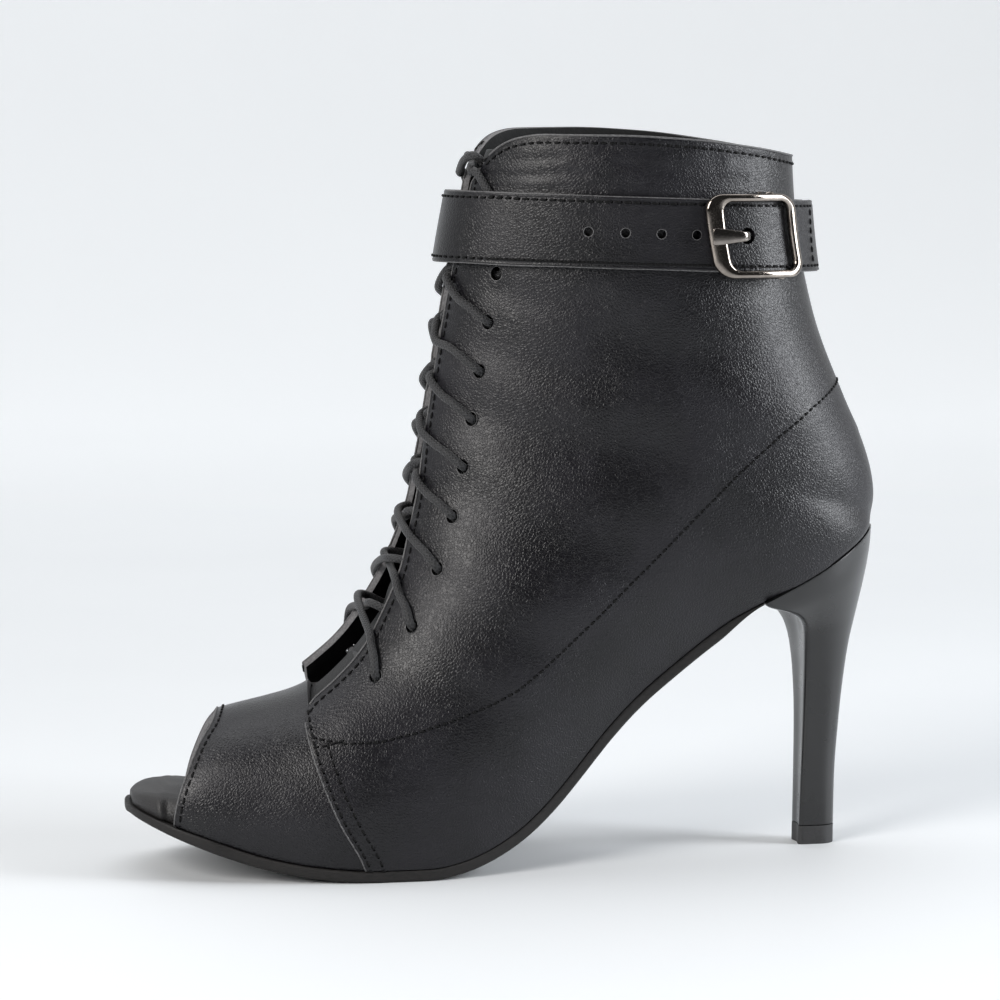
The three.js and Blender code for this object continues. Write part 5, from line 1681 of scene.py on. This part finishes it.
# %% Lace, strap and buckle
lace, strap, buckle, prong = make_lace(), make_strap(), make_buckle(), make_prong()
print("on the leather:", [piece.name for piece in (lace, strap, buckle, prong)])

# %% [markdown]
# Each stitch row is a line at an even distance from an edge.

# %% Stitch lines of the upper
FLUSH_SEAM = [(-25, 41), (-23.4, 40.1), (-14.8, 38.7), (-5.3, 39.1), (5.6, 41.6), (16.5, 45.1),
              (26, 48.9), (33, 52.6), (39, 57), (46, 63), (56, 72.4), (70.4, 86.3), (84.6, 100.4),
              (96.2, 111.6), (108.4, 121.8), (118.9, 129.3), (127, 134), (131, 136.4), (137, 140)]
leather_tree = surface_of(vamp, quarters)


def facing_line(side, setback):
    v = np.linspace(CORNER_SECTION + 0.25, 20.1, 160)
    u = side * (facing_turn(v) + gap_turn(v, setback) - gap_turn(v))
    return quarter_point(v, u)


def collar_line(side, drop):
    a = np.linspace(0.06, 1, 120)
    _, end = quarter_ends(a, side)
    v = end - 0.06 * drop
    u = side * quarter_turn(v, a)
    points = quarter_point(v, u)
    points[:, 2] = np.minimum(points[:, 2], quarter_point(end, side * quarter_turn(end, a))[:, 2] - drop)
    return points


def quarter_edge_line(side, setback):
    a = np.linspace(0.02, 0.95, 120)
    start, _ = quarter_ends(a, side)

    def past(v):
        u = side * quarter_turn(v, a)
        return past_quarter_edge(quarter_point(v, u), setback)
    v = crossing(past, start, start + 2)
    return quarter_point(v, side * quarter_turn(v, a))


def toe_line(setback):
    u = np.linspace(-0.93, 0.93, 160)
    low, high = np.zeros(len(u)), np.full(len(u), 4.0)
    v = crossing(lambda v: past_toe_edge(last_point(v, u), setback), low, high)
    return last_point(v, u)


def on_quarter(side, points):
    """The part of a side-view line that lies behind the quarter's front edge."""
    dropped = np.array(side_line(leather_tree, points, side))
    return dropped[past_quarter_edge(dropped) > 1]


stitch_bm = bmesh.new()
for side in (-1, 1):
    stitch_row(stitch_bm, leather_tree, facing_line(side, 2))
    stitch_row(stitch_bm, leather_tree, collar_line(side, 2.2))
    stitch_row(stitch_bm, leather_tree, quarter_edge_line(side, 1.5))
    stitch_row(stitch_bm, leather_tree, on_quarter(side, FLUSH_SEAM), pitch=2.2, length=1.4)
    second = quarter_edge_line(side, 5.2)
    stitch_row(stitch_bm, leather_tree, second[second[:, 2] < 38.5])
step = [(-25, 37.5), (-20.5, 38), (-16, 39.3)]
stitch_row(stitch_bm, leather_tree, on_quarter(-1, step), pitch=2.2, length=1.4)
stitch_row(stitch_bm, leather_tree, toe_line(1.7))
stitches = new_piece("upper_stitches", stitch_bm, thread, pinhole_shade)
seat(stitches, "black_leather")
print("stitches lie on", len(FLUSH_SEAM), "points of the flush seam and on each edge")

# %% [markdown]
# Along each cut edge a thin pale line is a painted highlight, where the rounded edge would catch the
# light.

# %% Painted highlights on the cut edges
edge_bm = bmesh.new()
for side in (-1, 1):
    edge_line(edge_bm, leather_tree, facing_line(side, 0.15), 0.6)
    edge_line(edge_bm, leather_tree, collar_line(side, 0.1), 0.6)
    edge_line(edge_bm, leather_tree, quarter_edge_line(side, 0.15), 0.45)
edge_line(edge_bm, leather_tree, toe_line(0.15), 0.6)
edges = new_piece("cut_edges", edge_bm, painted_rim_highlight)
seat(edges, "black_leather")
print("pale edges:", edges.name)

# %% [markdown]
# The strap has a row along both edges and one across its tail, a pale painted highlight on each edge,
# and pale rings round its free holes, painted highlights on their rims. The lace holes have such rings
# too.

# %% Strap stitches and highlight rings
def on_strap(turn, up, share=1.0):
    """A place at a share of the strap's thickness, out from its inner face."""
    return strap_point(turn, up, strap_standoff(turn) + STRAP_THICKNESS * share)


strap_bm = bmesh.new()
strap_tree = surface_of(strap)
turns = np.linspace(0.1, STRAP_END_TURN - 0.03, 500)
for side in (-1, 1):
    stitch_row(strap_bm, strap_tree, on_strap(turns, side * (STRAP_WIDTH / 2 - 1.6)))
ups = np.linspace(-6.5, 6.5, 12)
ends = STRAP_END_TURN - 0.045 + STRAP_SLANT * ups / 10
stitch_row(strap_bm, strap_tree, on_strap(ends, ups))
strap_stitches = new_piece("strap_stitches", strap_bm, thread, pinhole_shade)
seat(strap_stitches, "black_leather")

strap_edge_bm = bmesh.new()
for side in (-1, 1):
    edge_line(strap_edge_bm, strap_tree, on_strap(turns, side * (STRAP_WIDTH / 2 - 0.1), 0.8), 0.4)
strap_edges = new_piece("strap_edges", strap_edge_bm, painted_rim_highlight)
seat(strap_edges, "black_leather")

rim_bm = bmesh.new()
for _, _, place, outward in eyelets():
    highlight_ring(rim_bm, place - outward * 0.12, outward, EYELET_DIAMETER + 0.1, 0.32, EYELET_STRETCH)
for index in range(1, 5):
    place, outward = strap_hole(index)
    highlight_ring(rim_bm, place, outward, 2.75, 0.3)
rims = new_piece("hole_rims", rim_bm, painted_rim_highlight)
seat(rims, "black_leather")
print("rings:", len(eyelets()) + 4)

# %% [markdown]
# The boot stands on a pale floor in a bright room. Three soft lights shape it: one high on the left, a
# little warm, one from the right, a little cool, and one above and behind it. The room is darker on the
# camera's side, so black leather stays black and its sheen comes from the lights.

# %% Floor and light
FLOOR_WIDTH, FLOOR_LENGTH, FLOOR_FRONT = 9000, 5400, -3000
SWEEP_START, SWEEP_RADIUS = 1500, 700
FLOOR_GLOW, WALL_GLOW = 0.0, 0.45


def floor_place(a, b):
    """A floor that curves up into a wall far behind the boot, in millimetres."""
    y = FLOOR_FRONT + FLOOR_LENGTH * b
    turn = np.clip((y - SWEEP_START) / SWEEP_RADIUS, 0, np.pi / 2)
    wall = np.maximum(y - SWEEP_START - SWEEP_RADIUS * np.pi / 2, 0)
    back = np.where(y < SWEEP_START, y, SWEEP_START + SWEEP_RADIUS * np.sin(turn))
    return np.stack([(a - 0.5) * FLOOR_WIDTH, back, SWEEP_RADIUS * (1 - np.cos(turn)) + wall * 8], -1)


def make_floor():
    bm = grid_mesh(4, 120, floor_place)
    material, tree, skin = new_material("floor")
    place = node(tree, "TexCoord").outputs["Object"]
    faint = ranged(tree, noise(tree, place, 3.0), 0.3, 0.7)
    depth = node(tree, "SeparateXYZ", None, i0=place).outputs[1]
    glow = ranged(tree, depth, 0.1, 1.7, FLOOR_GLOW, WALL_GLOW)
    dress(tree, skin, Base_Color=mixed(tree, faint, (0.7, 0.718, 0.732), (0.72, 0.738, 0.752)),
          Roughness=0.6, Specular_IOR_Level=0.2, Emission_Color=(0.95, 0.975, 1.0),
          Emission_Strength=glow)
    floor = new_piece("floor", bm, material)
    return floor


def make_light(name, place, size, power, color):
    data = bpy.data.lights.new(name, "AREA")
    data.shape = "RECTANGLE"
    data.size, data.size_y = size
    data.energy = power
    data.color = color
    light = bpy.data.objects.new(name, data)
    bpy.context.scene.collection.objects.link(light)
    light.location = place
    light.rotation_mode = "QUATERNION"
    light.rotation_quaternion = (VIEW_TARGET - Vector(place)).to_track_quat("-Z", "Y")
    return light


def make_world(color, dim, bright):
    """A pale room that is dimmer on the side the photographer stands."""
    world = bpy.data.worlds.new("room")
    bpy.context.scene.world = world
    world.use_nodes = True
    tree = world.node_tree
    way = node(tree, "TexCoord").outputs["Generated"]
    parts = node(tree, "SeparateXYZ", None, i0=way).outputs
    strength = ranged(tree, parts[1], -0.5, 0.35, dim, bright)
    background = tree.nodes["Background"]
    background.inputs["Color"].default_value = (*color, 1)
    tree.links.new(strength, background.inputs["Strength"])


make_floor()
make_light("key", (-0.95, -0.75, 0.75), (0.6, 0.8), 17, (1.0, 0.975, 0.95))
make_light("side", (1.15, -0.35, 0.5), (0.5, 0.8), 16, (0.94, 0.965, 1.0))
make_light("top", (-0.1, 0.35, 1.4), (1.6, 0.8), 7, (0.97, 0.98, 1.0))
make_world((0.96, 0.98, 1.0), 0.05, 0.75)
bpy.context.scene.view_settings.view_transform = "Standard"
